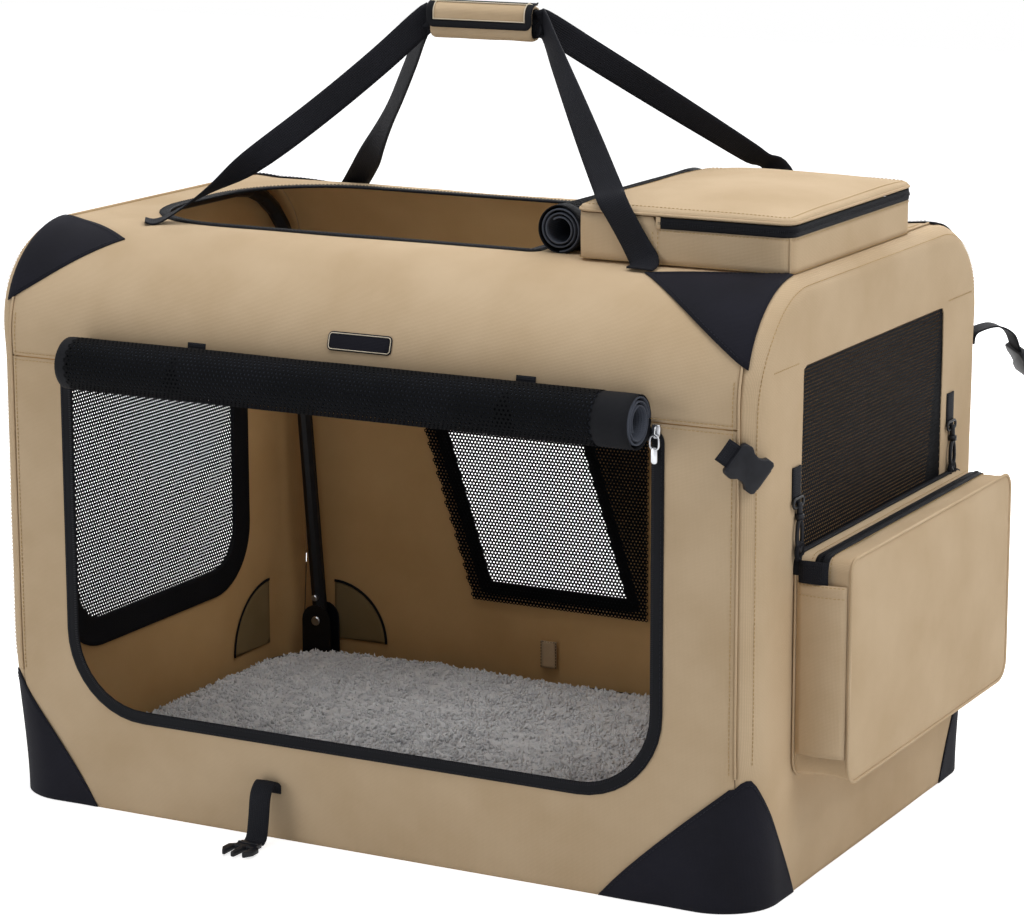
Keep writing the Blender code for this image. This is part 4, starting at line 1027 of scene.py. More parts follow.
for word, x in (("left", -0.192), ("right", 0.200)):
    ring = [(x, FRONT_ROLL_R * math.radians(a)) for a in range(15, 346, 5)]
    tie = tape(f"roll_tie_{word}_webbing", ring, 0.020, under_turn, black_webbing, 0.0018, closed=False,
               sheet=0.0012, outside=lambda c: c - Vector((c.x, *FRONT_ROLL)))
    fold_flat(tie, slot="black_webbing", nodes=[f"roll_tie_{word}"])
    root = tape(f"roll_tie_{word}_root", straight((x, 0.518), (x, 0.534), 0.004), 0.022, on_strip,
                black_webbing, 0.0016, closed=False, sheet=0.0012)
    fold_flat(root, slot="black_webbing")


def squash_on_roof(piece):
    """Give a piece on the roof its own copy of its mesh data."""
    squash_with_fold(piece)


roof_roll = rolled("roof_roll_sheet", ROOF_ROLL, ROOF_ROLL_R, 0.75, *ROOF_ENDS, roof_place)
settle(roof_roll, "roof_top", "black_net", "roof_door_roll")
lattice, bands, _ = roll_mesh("roof_roll", ROOF_ROLL, ROOF_ROLL_R, *ROOF_ENDS, roof_place)
for piece in [lattice] + bands:
    settle(piece, "roof_top", "black_net")
for piece in [roof_roll, lattice] + bands:
    squash_on_roof(piece)

# %% [markdown]
# ## Mat and floor
# The mat is a soft pad covered in sherpa pile. Thousands of short curled tufts stand on it, each leaning
# its own way. They are seeded, so every run grows the same pile.

# %% Mat
MAT_X, MAT_Y, MAT_CORNER, MAT_LOW = 0.425, 0.255, 0.090, 0.0023


def mat_height(x, y):
    """The pad's top: a low crown that falls away at the rounded rim."""
    over_x = max(abs(x) - MAT_X + MAT_CORNER, 0)
    over_y = max(abs(y) - MAT_Y + MAT_CORNER, 0)
    rim = MAT_CORNER - math.hypot(over_x, over_y)
    if over_x == 0 or over_y == 0:
        rim = min(MAT_X - abs(x), MAT_Y - abs(y))
    edge = min(max(rim, 0) / 0.018, 1)
    puff = math.sqrt(max(1 - (1 - edge) ** 2, 0))
    roll = noise.noise(Vector((x * 7, y * 7, 1.5))) * 0.0035 + noise.noise(Vector((x * 22, y * 22, 4))) * 0.0014
    return 0.012 + (0.029 + roll) * puff


mat_outline = evenly(rounded((-MAT_X, -MAT_Y), (MAT_X, MAT_Y), [MAT_CORNER] * 4), 0.012)
profile = [(0, 1, 0), (0.012, 0, 0), (0.004, 0, 0.2), (0, 0, 0.5), (0.003, 0, 1)]
profile += [(0.003, share, 1) for share in (0.03, 0.07, 0.12, 0.2, 0.3, 0.42, 0.55, 0.7, 0.85, 1)]


def mat_place(u, v, height):
    tall = (mat_height(u * 0.995, v * 0.995) - MAT_LOW) * height
    return Vector((u, v, MAT_LOW + tall + slack(Vector((u, v, 0)), 0.001) * height))


mat = loft("mat_pad", mat_outline, profile, mat_place, white_fleece)
fold_flat(mat, slot="white_fleece", nodes=["fleece_mat"])


def tufts(name, count, seed):
    """Short curled locks of pile standing on the mat."""
    dice = random.Random(seed)
    verts, faces = [], []
    while len(faces) < count * 7:
        x, y = dice.uniform(-0.424, 0.424), dice.uniform(-0.254, 0.254)
        if not inside(mat_outline, x * 1.004, y * 1.004):
            continue
        base = Vector((x, y, mat_height(x, y) - 0.0010))
        drift = [noise.noise(Vector((x * 30, y * 30, z))) for z in (0, 9)]
        lean = Vector((*drift, 0)) * 1.6
        lean += Vector((dice.uniform(-0.6, 0.6), dice.uniform(-0.6, 0.6), 1))
        lean.normalize()
        tall = dice.uniform(0.0034, 0.0062)
        wide = dice.uniform(0.0016, 0.0030)
        turn = dice.uniform(0, math.tau)
        side = lean.orthogonal().normalized()
        other = lean.cross(side)
        curl = (side * math.cos(turn * 3) + other * math.sin(turn * 3)) * tall * 0.45
        n = len(verts)
        for up, spread in ((0, 1.0), (0.55, 0.75)):
            for k in range(3):
                t = turn + math.tau * k / 3
                spot = base + lean * tall * up + curl * up ** 2
                verts.append(spot + (side * math.cos(t) + other * math.sin(t)) * wide * spread)
        verts.append(base + lean * tall + curl)
        faces += [(n + k, n + (k + 1) % 3, n + 3 + (k + 1) % 3, n + 3 + k) for k in range(3)]
        faces += [(n + 3 + k, n + 3 + (k + 1) % 3, n + 6) for k in range(3)] + [(n + 2, n + 1, n)]
    return mesh_piece(name, verts, faces, lambda i, p: p.xy, white_fleece, smooth=True)


pile = tufts("mat_pile", 19000, 3)
fold_flat(pile, slot="white_fleece")

floor_line = evenly(rounded((-0.4535, -0.3035), (0.4535, 0.3035), [0.060] * 4), 0.02)
steps_in = [(0, 0, 0.0016)] + [(0, s, 0.0018) for s in (0.1, 0.3, 0.5, 0.7, 1)]
board = loft("floor_cloth", floor_line, steps_in, upright, [tan_inside_painted_light])
face_towards(board, lambda c: Vector((0, 0, 1)))
thicken(board, 0.0014)
fold_flat(board, nodes=["floor_board"])

# %% [markdown]
# ## Storage case on the roof
# A soft-walled case with a foam-backed lid, closed by a zip on three sides. The left quarter is plain
# cloth and carries the lid's hinge.

# %% Roof case
CASE_FRONT, CASE_REAR = -0.195, 0.125
CASE_LEFT, CASE_RIGHT = 0.1995, 0.4400
CASE_ZIP_Z = 0.6802
case_line = evenly(rounded((CASE_LEFT, CASE_FRONT), (CASE_RIGHT, CASE_REAR), [0.014] * 4, 6), 0.006)


def case_place(u, v, height):
    top = 0.6856 if u < 0.2915 else 0.6743
    p = Vector((u, v, 0.6364 + (top - 0.6364) * height))
    bulge = 0.0010 * noise.noise(p * 11) * math.sin(math.pi * min(max(height, 0), 1))
    away = Vector((u - 0.32, v + 0.035, 0)).normalized()
    return p + away * bulge


walls = [(0.0004, 0, h) for h in (1, 0.8, 0.6, 0.4, 0.2, 0.04)]
walls += [(0.0004, s, 0.02) for s in (0.05, 0.2, 0.4, 0.7, 1)]
tray = loft("case_walls", case_line, walls, case_place, [tan_oxford, tan_inside_painted_light])
thicken(tray, 0.0018, 1)
on_case, along_case, case_girth = wall_of(case_line, upright)
zip_start, zip_end = along_case(0.2935, CASE_FRONT), along_case(0.2935, CASE_REAR)
track = straight((zip_start, CASE_ZIP_Z), (zip_end, CASE_ZIP_Z), 0.004)
case_middle = from_middle((CASE_LEFT, CASE_FRONT, 0.64), (CASE_RIGHT, CASE_REAR, 0.69))
zip_band = tape("case_zip_tape", track, 0.0112, on_case, black_tape, 0.0004, closed=False, crown=0.0004,
                sheet=0.0016, outside=case_middle)
case_coil = bars("case_coil", [(offset(track, d, False), on_case, 0.0006, False) for d in (-0.0007, 0.0007)],
                 black_acetal, 0.0018, 0.0010, 0.0016, 0.0010)
stop_run = straight((zip_start - 0.002, CASE_ZIP_Z), (zip_start + 0.003, CASE_ZIP_Z), 0.001)
start_tab = tape("case_zip_stop", stop_run, 0.0125, on_case, tan_oxford, 0.0009, closed=False, sheet=0.0010,
                 outside=case_middle)
rows = [(straight((zip_start, 0.6725), (zip_end, 0.6725)), on_case, 0.0005, False)]
for x in (0.2875, 0.2935):
    for y in (CASE_FRONT, CASE_REAR):
        t = along_case(x, y)
        rows.append((straight((t, 0.6385), (t, 0.6720)), on_case, 0.0005, False))
for lift in (0.0004, 0.00044):
    rows.append((straight((0.0, 0.6390), (case_girth, 0.6390), 0.006), on_case, lift, False))
stitched = bars("case_stitches", rows, tan_thread, pitch=0.0042, length=0.0026)
for y in (CASE_FRONT, CASE_REAR):
    sx, sy = CASE_RIGHT - 0.0041, y + math.copysign(0.0041, -y)
    corner_seam = piping(f"case_corner_seam_{'front' if y < 0 else 'rear'}",
                         [(sx, sy, 0.6368 + 0.0375 * i / 10) for i in range(11)], 0.0011, tan_oxford)
    settle(corner_seam, "roof_top", "tan_cloth")
    squash_on_roof(corner_seam)
settle(tray, "roof_top", "tan_cloth", "case_tray")
settle(zip_band, "roof_top", "black_cloth", "case_zip_band")
for piece in (case_coil, start_tab, stitched):
    settle(piece, "roof_top", "tan_cloth" if piece is not case_coil else "black_cloth")
for piece in (tray, zip_band, case_coil, start_tab, stitched):
    squash_on_roof(piece)


def lid_place(u, v, height):
    crown = 0.0150 * (1 - abs((u - 0.32) / 0.121) ** 3) * (1 - abs((v + 0.035) / 0.161) ** 3)
    sag = 0.0010 * noise.noise(Vector((u * 10, v * 10, 2)))
    swell = (max(crown, 0) + sag * ease(crown, 0, 0.002)) * max(height - 0.6, 0) * 2.5
    return Vector((u, v, 0.6862 + 0.0068 * height + swell))


def on_lid(x, y, lift=0.0):
    return lid_place(x, y, 1) + Vector((0, 0, lift))


rim = [(0, 1, 0), (0, 0.7, 0), (0, 0.4, 0), (0.008, 0, 0), (0.0015, 0, 0), (0.0, 0, 0.25), (0.0002, 0, 0.6)]
rim += [(0.0018, 0, 0.9), (0.0045, 0, 1), (0.010, 0, 1)] + [(0.010, i / 16, 1) for i in range(1, 17)]
lid = loft("case_lid_cloth", case_line, rim, lid_place, tan_oxford)
settle(lid, "case_cover", "tan_cloth", "case_lid")
edge = [(u, v, 0.6885) for u, v in offset(case_line, -0.0001)]
lid_cord = piping("case_lid_piping", edge, 0.0015, tan_oxford, closed=True)
settle(lid_cord, "case_cover", "tan_cloth")
lid_rows = [(offset(case_line, 0.006), on_lid, 0.0001, True)]
lid_stitches = bars("case_lid_stitches", lid_rows, tan_thread, pitch=0.0045, length=0.0028)
settle(lid_stitches, "case_cover", "tan_cloth")
for piece in (lid, lid_cord, lid_stitches):
    squash_on_roof(piece)

# %% [markdown]
# ## Side bag
# The bag is a gusset between two panels, with corded edges. The outer panel is filled and swells, the
# gusset sinks between the cords, and the zip runs along its top.

# %% Side bag
bag_line = evenly(rounded((-0.215, 0.126), (0.240, 0.360), [0.020, 0.022, 0.018, 0.014], 6), 0.007)
BACK, FACE = 0.4556, 0.5185


def bag_place(u, v, height):
    x = BACK + (FACE - BACK) * height
    full = max((1 - abs((u - 0.0125) / 0.2275) ** 2.6) * (1 - abs((v - 0.243) / 0.117) ** 2.6), 0)
    if height > 0.97:
        x += 0.0075 * full + 0.0018 * noise.noise(Vector((u * 8, v * 8, 5))) * ease(full, 0, 0.3)
    elif height > 0.03:
        dent = 0.0012 * noise.noise(Vector((u * 14, v * 14, height * 4)))
        return Vector((x, u + dent * (0.3 if abs(u) < 0.2 else 1), v + dent))
    return Vector((x, u, v))


heights = (0, 0.08, 0.2, 0.35, 0.5, 0.65, 0.8, 0.92, 1)
sink = [(0.0025 * math.sin(math.pi * h) ** 0.8, 0, 0.03 + 0.94 * h) for h in heights]
rings = [(0, 1, 0), (0, 0.5, 0), (0.003, 0, 0)] + sink + [(0.0015, 0, 0.985), (0.004, 0, 1.0)]
rings += [(0.004, i / 18, 1.0) for i in range(1, 19)]
bag = loft("side_bag_cloth", bag_line, rings, bag_place, tan_oxford)


def bag_piece(piece, slot="tan_cloth", *nodes):
    settle(piece, "hanging_bag", slot, *nodes)
    squash_with_fold(piece)


bag_piece(bag, "tan_cloth", "side_bag")
for word, x, radius in (("face", FACE - 0.0006, 0.0018), ("back", BACK + 0.002, 0.0014)):
    cord = [(x, u, v) for u, v in bag_line]
    bag_piece(piping(f"side_bag_{word}_piping", cord, radius, tan_oxford, closed=True))
on_bag, along_bag, _ = wall_of(bag_line, sideways)
bag_middle = from_middle((0.4553, -0.215, 0.126), (0.5193, 0.240, 0.360))
top_right = along_bag(0.225, 0.360)
foot_left = along_bag(-0.215, 0.338)
centre_x = 0.4845
track = straight((top_right, centre_x), (foot_left, centre_x), 0.005)
bag_zip = tape("side_bag_zip_tape", track, 0.0150, on_bag, black_tape, -0.0006, closed=False, crown=0.0008,
               sheet=0.0014, outside=bag_middle)
bag_piece(bag_zip, "black_cloth", "side_bag_zip")
bag_piece(bars("side_bag_coil", [(offset(track, d, False), on_bag, 0.0002, False) for d in (-0.0008, 0.0008)],
               black_acetal, 0.0020, 0.0011, 0.0018, 0.0011), "black_cloth")
edge_run = straight((top_right - 0.005, BACK + 0.003), (foot_left, BACK + 0.003), 0.006)
bag_piece(tape("side_bag_back_webbing", edge_run, 0.0075, on_bag, black_tape, 0.0010, closed=False, crown=0.0012,
               outside=bag_middle), "black_webbing")
rows = [(offset(track, d, False), on_bag, 0.0004, False) for d in (-0.0105, 0.0105)]
side_low, side_high = along_bag(-0.215, 0.153), along_bag(-0.215, 0.329)
pocket_run = straight((side_low, 0.4870), (side_high, 0.4870), 0.006)
pocket = tape("side_pocket", pocket_run, 0.0540, on_bag, tan_oxford, 0.0012, closed=False, rows=8, crown=0.0030,
              sheet=0.0012, outside=bag_middle)
bag_piece(pocket)


def on_pocket(t, x, lift=0.0):
    """The pocket's outer face, which swells away from the side of the bag."""
    return on_bag(t, x, 0.0019 + lift + 0.0030 * (1 - ((x - 0.487) / 0.027) ** 2))


for down in (0.0015, 0.0125):
    t = side_high + (down if side_high < side_low else -down)
    hem_line = straight((t, 0.4615), (t, 0.5125), 0.004)
    rows.append((hem_line, on_pocket, 0.0002, False))
bag_piece(bars("side_bag_stitches", rows, tan_thread, pitch=0.0042, length=0.0026))

# %% [markdown]
# ## Hooks that carry the bag
# A webbing tab is sewn to the end wall at each end of the bag. A swivel snap hook hangs from its ring
# and clips into a loop on the bag.

# %% Bag hooks
def joined(name, pieces):
    """Join pieces into one object under the first one's name."""
    bpy.ops.object.select_all(action="DESELECT")
    for piece in pieces:
        piece.select_set(True)
    bpy.context.view_layer.objects.active = pieces[0]
    bpy.ops.object.join()
    pieces[0].name = pieces[0].data.name = name
    return pieces[0]


def loop_of(width, height, radius, steps=5):
    return rounded((-width / 2, -height / 2), (width / 2, height / 2), [radius] * 4, steps)


for word, y in (("front", -0.212), ("rear", 0.212)):
    webbing = tape(f"bag_hook_{word}_tab", straight((y, 0.449), (y, 0.412), 0.003), 0.0200, to_right,
                   black_webbing, 0.0014, closed=False, sheet=0.0016)
    settle(webbing, "bag_hooks", "black_webbing")
    ring_path = [(0.4580, y + u, 0.4125 + v) for u, v in loop_of(0.024, 0.009, 0.004)]
    ring = piping("ring", ring_path, 0.0015, black_steel, closed=True)
    stem = [(0.4590, y, 0.4130), (0.4592, y, 0.4080), (0.4594, y, 0.4040), (0.4596, y, 0.3990)]
    swivel = piping("swivel", stem, 0.0030, black_acetal, sides=12)
    collar = piping("collar", [(0.4596, y, 0.4010), (0.4596, y, 0.3955)], 0.0046, black_acetal, sides=14)
    gate = [(0.4598, y + 0.0062 * math.sin(t), 0.3790 + 0.0165 * math.cos(t)) for t in
            [math.radians(a) for a in range(-8, 368, 14)]]
    snap = piping("snap", gate, 0.0021, black_acetal, closed=False)
    hook = joined(f"bag_hook_{word}_snap", [swivel, collar, snap, ring])
    settle(hook, "bag_hooks", "black_plastic", f"bag_hook_{word}")
    loop = [(0.4600, y + 0.0075 * math.sin(t), 0.3625 + 0.0085 * math.cos(t)) for t in
            [math.radians(a) for a in range(0, 360, 20)]]
    bag_piece(piping(f"side_bag_loop_{word}", loop, 0.0024, black_webbing, closed=True), "black_webbing")
    squash_with_fold(webbing)
    squash_with_fold(hook)
front_tab = straight((along_bag(-0.215, 0.352), 0.4780), (along_bag(-0.215, 0.3335), 0.4780), 0.003)
bag_piece(tape("side_bag_front_tab", front_tab, 0.0320, on_bag, black_webbing, 0.0034, closed=False, crown=0.0014,
               outside=bag_middle), "black_webbing")

# %% [markdown]
# ## Carrying straps and grip
# Two straps of 30 mm webbing rise from the roof and twist until they stand on edge where the grip
# holds them together.

# %% Straps
GRIP_Y, GRIP_Z = -0.020, 0.856


def smooth_run(points, count=6):
    """A Catmull-Rom curve through points."""
    points = [Vector(p) for p in points]
    run, last = [], len(points) - 1
    for i in range(count * last + 1):
        k = min(int(i / count), last - 1)
        t = i / count - k
        p0, p1 = points[max(k - 1, 0)], points[k]
        p2, p3 = points[k + 1], points[min(k + 2, last)]
        run.append(0.5 * (2 * p1 + (p2 - p0) * t + (2 * p0 - 5 * p1 + 4 * p2 - p3) * t ** 2
                          + (3 * p1 - p0 - 3 * p2 + p3) * t ** 3))
    return run


def webbing_band(name, path, widths, width):
    """A strap along a path; widths gives the direction across it at each point."""
    path, widths = smooth_run(path), smooth_run(widths)
    last, reach = len(path) - 1, [0.0]
    for a, b in zip(path, path[1:]):
        reach.append(reach[-1] + (b - a).length)

    def lay(a, b):
        i = min(bisect.bisect_left(reach, a - 1e-9), last)
        ahead = (path[min(i + 1, last)] - path[max(i - 1, 0)]).normalized()
        across = (widths[i] - ahead * widths[i].dot(ahead)).normalized()
        return path[i] + across * b + ahead.cross(across) * 0.0006 * math.cos(b / width * math.pi)

    band = grid_sheet(name, last, 6, lambda u, v: (reach[round(u * last)], (v - 0.5) * width), lay,
                      black_webbing)
    thicken(band, 0.0018, offset=0.0)
    return band


def roof_spot(x, y, lift):
    over = max(abs(y) - (HALF_Y - TOP_R), 0)
    turn = math.asin(over / TOP_R)
    normal = Vector((0, math.copysign(math.sin(turn), y), math.cos(turn)))
    return Vector((x, y, HEIGHT - TOP_R * (1 - math.cos(turn)))) + normal * lift, normal


def strap_leg(foot_x, foot_y, inner):
    out = Vector((foot_x - inner.x, foot_y - inner.y, 0)).normalized() * 0.018
    toe, normal = roof_spot(foot_x + out.x, foot_y + out.y, 0.0036)
    heel = roof_spot(foot_x, foot_y, 0.0036)[0]
    path = [toe, heel]
    for i in range(1, 6):
        share = i / 6
        path.append(heel.lerp(inner, share) - Vector((0, 0, 0.048 * share * (1 - share))))
    path.append(inner)
    flat = out.cross(normal).normalized()
    flat = flat if flat.y < 0 else -flat
    upright_way = Vector((0, 0, 1))
    return path, [flat, flat] + [flat.lerp(upright_way, ease(i, 0, 3)) for i in range(1, 7)]


def strap_leg_at_case(end, x, inner):
    face, top = -0.035 + end * 0.1625, 0.6946
    lean = 0.62
    toe = roof_spot(x, face + end * 0.018, 0.0036)[0]
    bend = roof_spot(x, face + end * 0.005, 0.0051)[0]
    climb = Vector((-lean, 0, 1))
    rise = Vector((x, face, HEIGHT)) + climb * 0.018
    brow = Vector((x, face, HEIGHT)) + climb * (top - HEIGHT + 0.002)
    crest = brow.lerp(inner, 0.10) - Vector((0, 0, 0.001))
    path = [toe, bend, rise, brow, crest] + [crest.lerp(inner, i / 5) for i in range(1, 5)] + [inner]
    across, upright_way = Vector((1, 0, 0)), Vector((0, 0, 1))
    return path, [across] * 3 + [across.lerp(upright_way, i / 6) for i in range(7)]


def strap_rides(piece, slot="black_webbing", *nodes):
    settle(piece, "roof_top", slot, *nodes)
    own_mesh(piece)


for name, y, foot_y, foot_x, end in (("strap_front", -0.0213, -0.178, 0.282, -1),
                                     ("strap_rear", -0.0187, 0.236, 0.318, 1)):
    held = [Vector((x, y, GRIP_Z)) for x in (-0.062, 0.0, 0.062)]
    left = strap_leg(-0.318, foot_y, Vector((-0.072, y, GRIP_Z)))
    right = strap_leg_at_case(end, foot_x, Vector((0.072, y, GRIP_Z)))
    path = left[0] + held + right[0][::-1]
    ways = left[1] + [Vector((0, 0, 1))] * 3 + right[1][::-1]
    strap = webbing_band(name + "_webbing", path, ways, 0.030)
    strap_rides(strap, "black_webbing", name)
    strap_length = sum((b - a).length for a, b in zip(path, path[1:]))

# %% [markdown]
# The grip is a padded sleeve in tan oxford. Its flap closes over the front and is bound in black tape
# with a thin cream cord.

# %% Grip
sleeve_low, sleeve_high = (GRIP_Y - 0.012, GRIP_Z - 0.019), (GRIP_Y + 0.012, GRIP_Z + 0.019)
sleeve_line = evenly(rounded(sleeve_low, sleeve_high, [0.010] * 4, 6), 0.003)


def sleeve_place(u, v, height):
    x = -0.0617 + 0.1234 * height
    wrinkle = 0.0007 * noise.noise(Vector((x * 40, u * 60, v * 60)))
    away = Vector((0, u - GRIP_Y, v - GRIP_Z)).normalized()
    return Vector((x, u, v)) + away * wrinkle


steps = [(0.0028, 0, 0), (0.0012, 0, 0), (0.0003, 0, 0.015)]
steps += [(0, 0, 0.03 + 0.94 * i / 24) for i in range(25)]
steps += [(0.0003, 0, 0.985), (0.0012, 0, 1), (0.0028, 0, 1)]
sleeve = loft("grip_sleeve_cloth", sleeve_line, steps, sleeve_place, tan_oxford)
thicken(sleeve, 0.0014)
settle(sleeve, "carrying_grip", "tan_cloth", "grip_sleeve")


def from_grip(c):
    return c - Vector((c.x, GRIP_Y, GRIP_Z))


def on_flap(x, drop, lift=0.0):
    """The flap's surface: drop is the distance from its hinge over the top and down the front."""
    r = 0.0103 + lift
    flat_run, turn_run = 0.0045, 0.0103 * math.pi / 2
    if drop < flat_run:
        return Vector((x, GRIP_Y + 0.0025 - drop, GRIP_Z + 0.0193 + lift))
    if drop < flat_run + turn_run:
        t = (drop - flat_run) / 0.0103
        return Vector((x, GRIP_Y - 0.0020 - r * math.sin(t), GRIP_Z + 0.0090 + r * math.cos(t)))
    return Vector((x, GRIP_Y - 0.0020 - r, GRIP_Z + 0.0090 - (drop - flat_run - turn_run)))


flap_length = 0.0045 + 0.0103 * math.pi / 2 + 0.0150
flap_line = evenly(rounded((-0.0640, 0.0), (0.0640, flap_length), [0.002, 0.002, 0.008, 0.008], 6), 0.003)


def flap_cloth(name, outline, lift, material, sheet):
    middle = (0.0, flap_length / 2)
    rings = [0, 0.06, 0.15, 0.3, 0.5, 0.75, 1.0]

    def flat(u, v):
        i, s = round(u * len(outline)) % len(outline), rings[round(v * 6)]
        return tuple(outline[i][k] + (middle[k] - outline[i][k]) * s for k in (0, 1))

    cloth = grid_sheet(name, len(outline), 6, flat, lambda a, b: on_flap(a, b, lift), material, ring=True)
    face_towards(cloth, from_grip)
    thicken(cloth, sheet)
    return cloth


flap = flap_cloth("grip_flap_cloth", flap_line, 0.0014, tan_oxford, 0.0012)
border = tape("grip_flap_binding", evenly(offset(flap_line, 0.0035), 0.003), 0.0082, on_flap, black_tape,
              0.0022, crown=0.0008, outside=from_grip)
cream = woven("polyester_cord_cream", "#D8CBB2", "#E8DDC8", 0.0008, 0.0002, 0.7, 0.3)
trim_path = [on_flap(a, b, 0.0026) for a, b in offset(flap_line, 0.0084)]
trim = piping("grip_flap_cord", trim_path, 0.0006, cream, closed=True)
settle(flap, "grip_cover", "tan_cloth", "grip_flap")
settle(border, "grip_cover", "black_cloth")
settle(trim, "grip_cover", "black_cloth")

# %% [markdown]
# ## Fold straps, buckles, zip slider and label
# The side-release buckles are moulded: a flat housing with side windows, ribs across its face and a
# bar for the webbing. Each is built flat and then placed by three directions.

# %% Moulded parts
def slab(name, outline, thickness, round_edge, material):
    """A flat moulding: an outline drawn out to a thickness, its edges rounded."""
    mesh = bmesh.new()
    face = mesh.faces.new([mesh.verts.new((u, v, -thickness / 2)) for u, v in outline])
    moved = bmesh.ops.extrude_face_region(mesh, geom=[face])["geom"]
    raised = [g for g in moved if isinstance(g, bmesh.types.BMVert)]
    bmesh.ops.translate(mesh, verts=raised, vec=(0, 0, thickness))
    bmesh.ops.recalc_face_normals(mesh, faces=mesh.faces)
    data = bpy.data.meshes.new(name)
    mesh.to_mesh(data)
    mesh.free()
    obj = bpy.data.objects.new(name, data)
    bpy.context.collection.objects.link(obj)
    active(obj)
    edge = obj.modifiers.new("edge", "BEVEL")
    edge.width, edge.segments, edge.limit_method, edge.angle_limit = round_edge, 2, "ANGLE", math.radians(50)
    bpy.ops.object.modifier_apply(modifier=edge.name)
    return new_piece(obj, name, material)


def put(piece, middle, across, down):
    """Place a piece built flat: its x goes across, its y goes down."""
    turn = Matrix((across, down, across.cross(down).normalized())).transposed().to_4x4()
    piece.data.transform(Matrix.Translation(middle) @ turn)
    return piece


def shifted(piece, x, y, z):
    piece.data.transform(Matrix.Translation((x, y, z)))
    return piece


def buckle_socket(name, middle, across, down):
    w, h = 0.019, 0.020
    outline = [(-0.84 * w, -h), (0.84 * w, -h), (0.96 * w, -0.86 * h), (w, -0.5 * h), (0.80 * w, -0.22 * h),
               (0.74 * w, 0.1 * h), (0.84 * w, 0.36 * h), (w, 0.5 * h), (w, 0.86 * h), (0.88 * w, h), (-0.88 * w, h),
               (-w, 0.86 * h), (-w, 0.5 * h), (-0.84 * w, 0.36 * h), (-0.74 * w, 0.1 * h), (-0.80 * w, -0.22 * h),
               (-w, -0.5 * h), (-0.96 * w, -0.86 * h)]
    pieces = [slab(name, outline, 0.0096, 0.0016, black_acetal)]
    for y in (0.30, 0.44, 0.58):
        rib = rounded((-0.6 * w, y * h - 0.0007), (0.6 * w, y * h + 0.0007), [0.0006] * 4, 2)
        pieces.append(shifted(slab("rib", rib, 0.0014, 0.0003, black_acetal), 0, 0, 0.0050))
    bar = rounded((-0.72 * w, -0.88 * h), (0.72 * w, -0.66 * h), [0.0012] * 4, 2)
    pieces.append(shifted(slab("bar", bar, 0.0016, 0.0005, black_acetal), 0, 0, 0.0048))
    lip = rounded((-0.62 * w, 0.90 * h), (0.62 * w, 1.03 * h), [0.0008] * 4, 2)
    pieces.append(slab("lip", lip, 0.0076, 0.0006, black_acetal))
    return put(joined(name, pieces), middle, across, down)


lean = math.sqrt(0.5)
corner_x, corner_y = HALF_X - 0.036 * (1 - lean), HALF_Y - 0.036 * (1 - lean)
across, down, away = Vector((lean, lean, 0)), Vector((0, 0, -1)), Vector((lean, -lean, 0))
middle = Vector((corner_x + lean * 0.0053, -corner_y - lean * 0.0053, 0.464)) - across * 0.0070
tilt = Matrix.Rotation(math.radians(52), 3, away)
across, down = tilt @ across, tilt @ down
socket = buckle_socket("front_buckle_socket", middle, across, down)
fold_flat(socket, slot="black_plastic", nodes=["buckle_socket_front"])
path = [middle - down * 0.012, middle - down * 0.021, middle - down * 0.027 - away * 0.002,
        middle - down * 0.031 - away * 0.0065]
webbing = webbing_band("front_buckle_webbing", path, [across] * 4, 0.025)
fold_flat(webbing, slot="black_webbing")

start = Vector((corner_x, corner_y, 0.503)) + Vector((lean, lean, 0)) * 0.0013
hang = ((0, 0, -0.2), (0.05, 0.05, 0.0), (0.30, 0.42, 0.08), (0.48, 0.80, -0.10), (0.55, 1.0, -0.42))
path = [start + Vector(p) * 0.060 for p in hang]
rear_across = Vector((lean, -lean, 0))
strap = webbing_band("rear_buckle_webbing", path, [rear_across] * 5, 0.025)
down = (path[-1] - path[-2]).normalized()
across_rear = (rear_across - down * rear_across.dot(down)).normalized()
socket = buckle_socket("rear_buckle_socket", path[-1] + down * 0.0197, across_rear, down)
fold_flat(strap, slot="black_webbing", nodes=["buckle_socket_rear"])
fold_flat(socket, slot="black_plastic")

SHARES = [(0.026, 0.86), (0.03, 1.0), (0.26, 1.1), (0.54, 0.92), (0.66, 0.5), (0.76, 0.2),
          (0.9, 0.1), (1, 0.1)]
root = -HALF_Y - 0.0003
path = [(-0.109, root - out * 0.040, high * 0.060) for out, high in SHARES]
strap = webbing_band("front_fold_strap", path, [(1, 0, 0)] * len(path), 0.025)
settle(strap, "front_strap", "black_webbing", "fold_strap_front")
w, length = 0.019, 0.040
plug_shape = [(-0.66, 0), (0.66, 0), (0.66, 0.30), (1.0, 0.42), (1.0, 0.72), (0.72, 0.95), (0.56, 0.95), (0.56, 0.45),
              (0.18, 0.42), (0.12, 1.0), (-0.12, 1.0), (-0.18, 0.42), (-0.56, 0.45), (-0.56, 0.95), (-0.72, 0.95),
              (-1.0, 0.72), (-1.0, 0.42), (-0.66, 0.30)]
plug = slab("front_buckle_plug", [(u * w, -v * length) for u, v in plug_shape], 0.0060, 0.0012, black_acetal)
bar_line = rounded((-0.012, -0.0105), (0.012, -0.0065), [0.001] * 4, 2)
bar = shifted(slab("bar", bar_line, 0.0016, 0.0005, black_acetal), 0, 0, 0.0034)
plug = joined("front_buckle_plug", [plug, bar])
shifted(plug, -0.109, root - 0.0403, 0.0060)
settle(plug, "front_strap", "black_plastic", "buckle_plug_front")

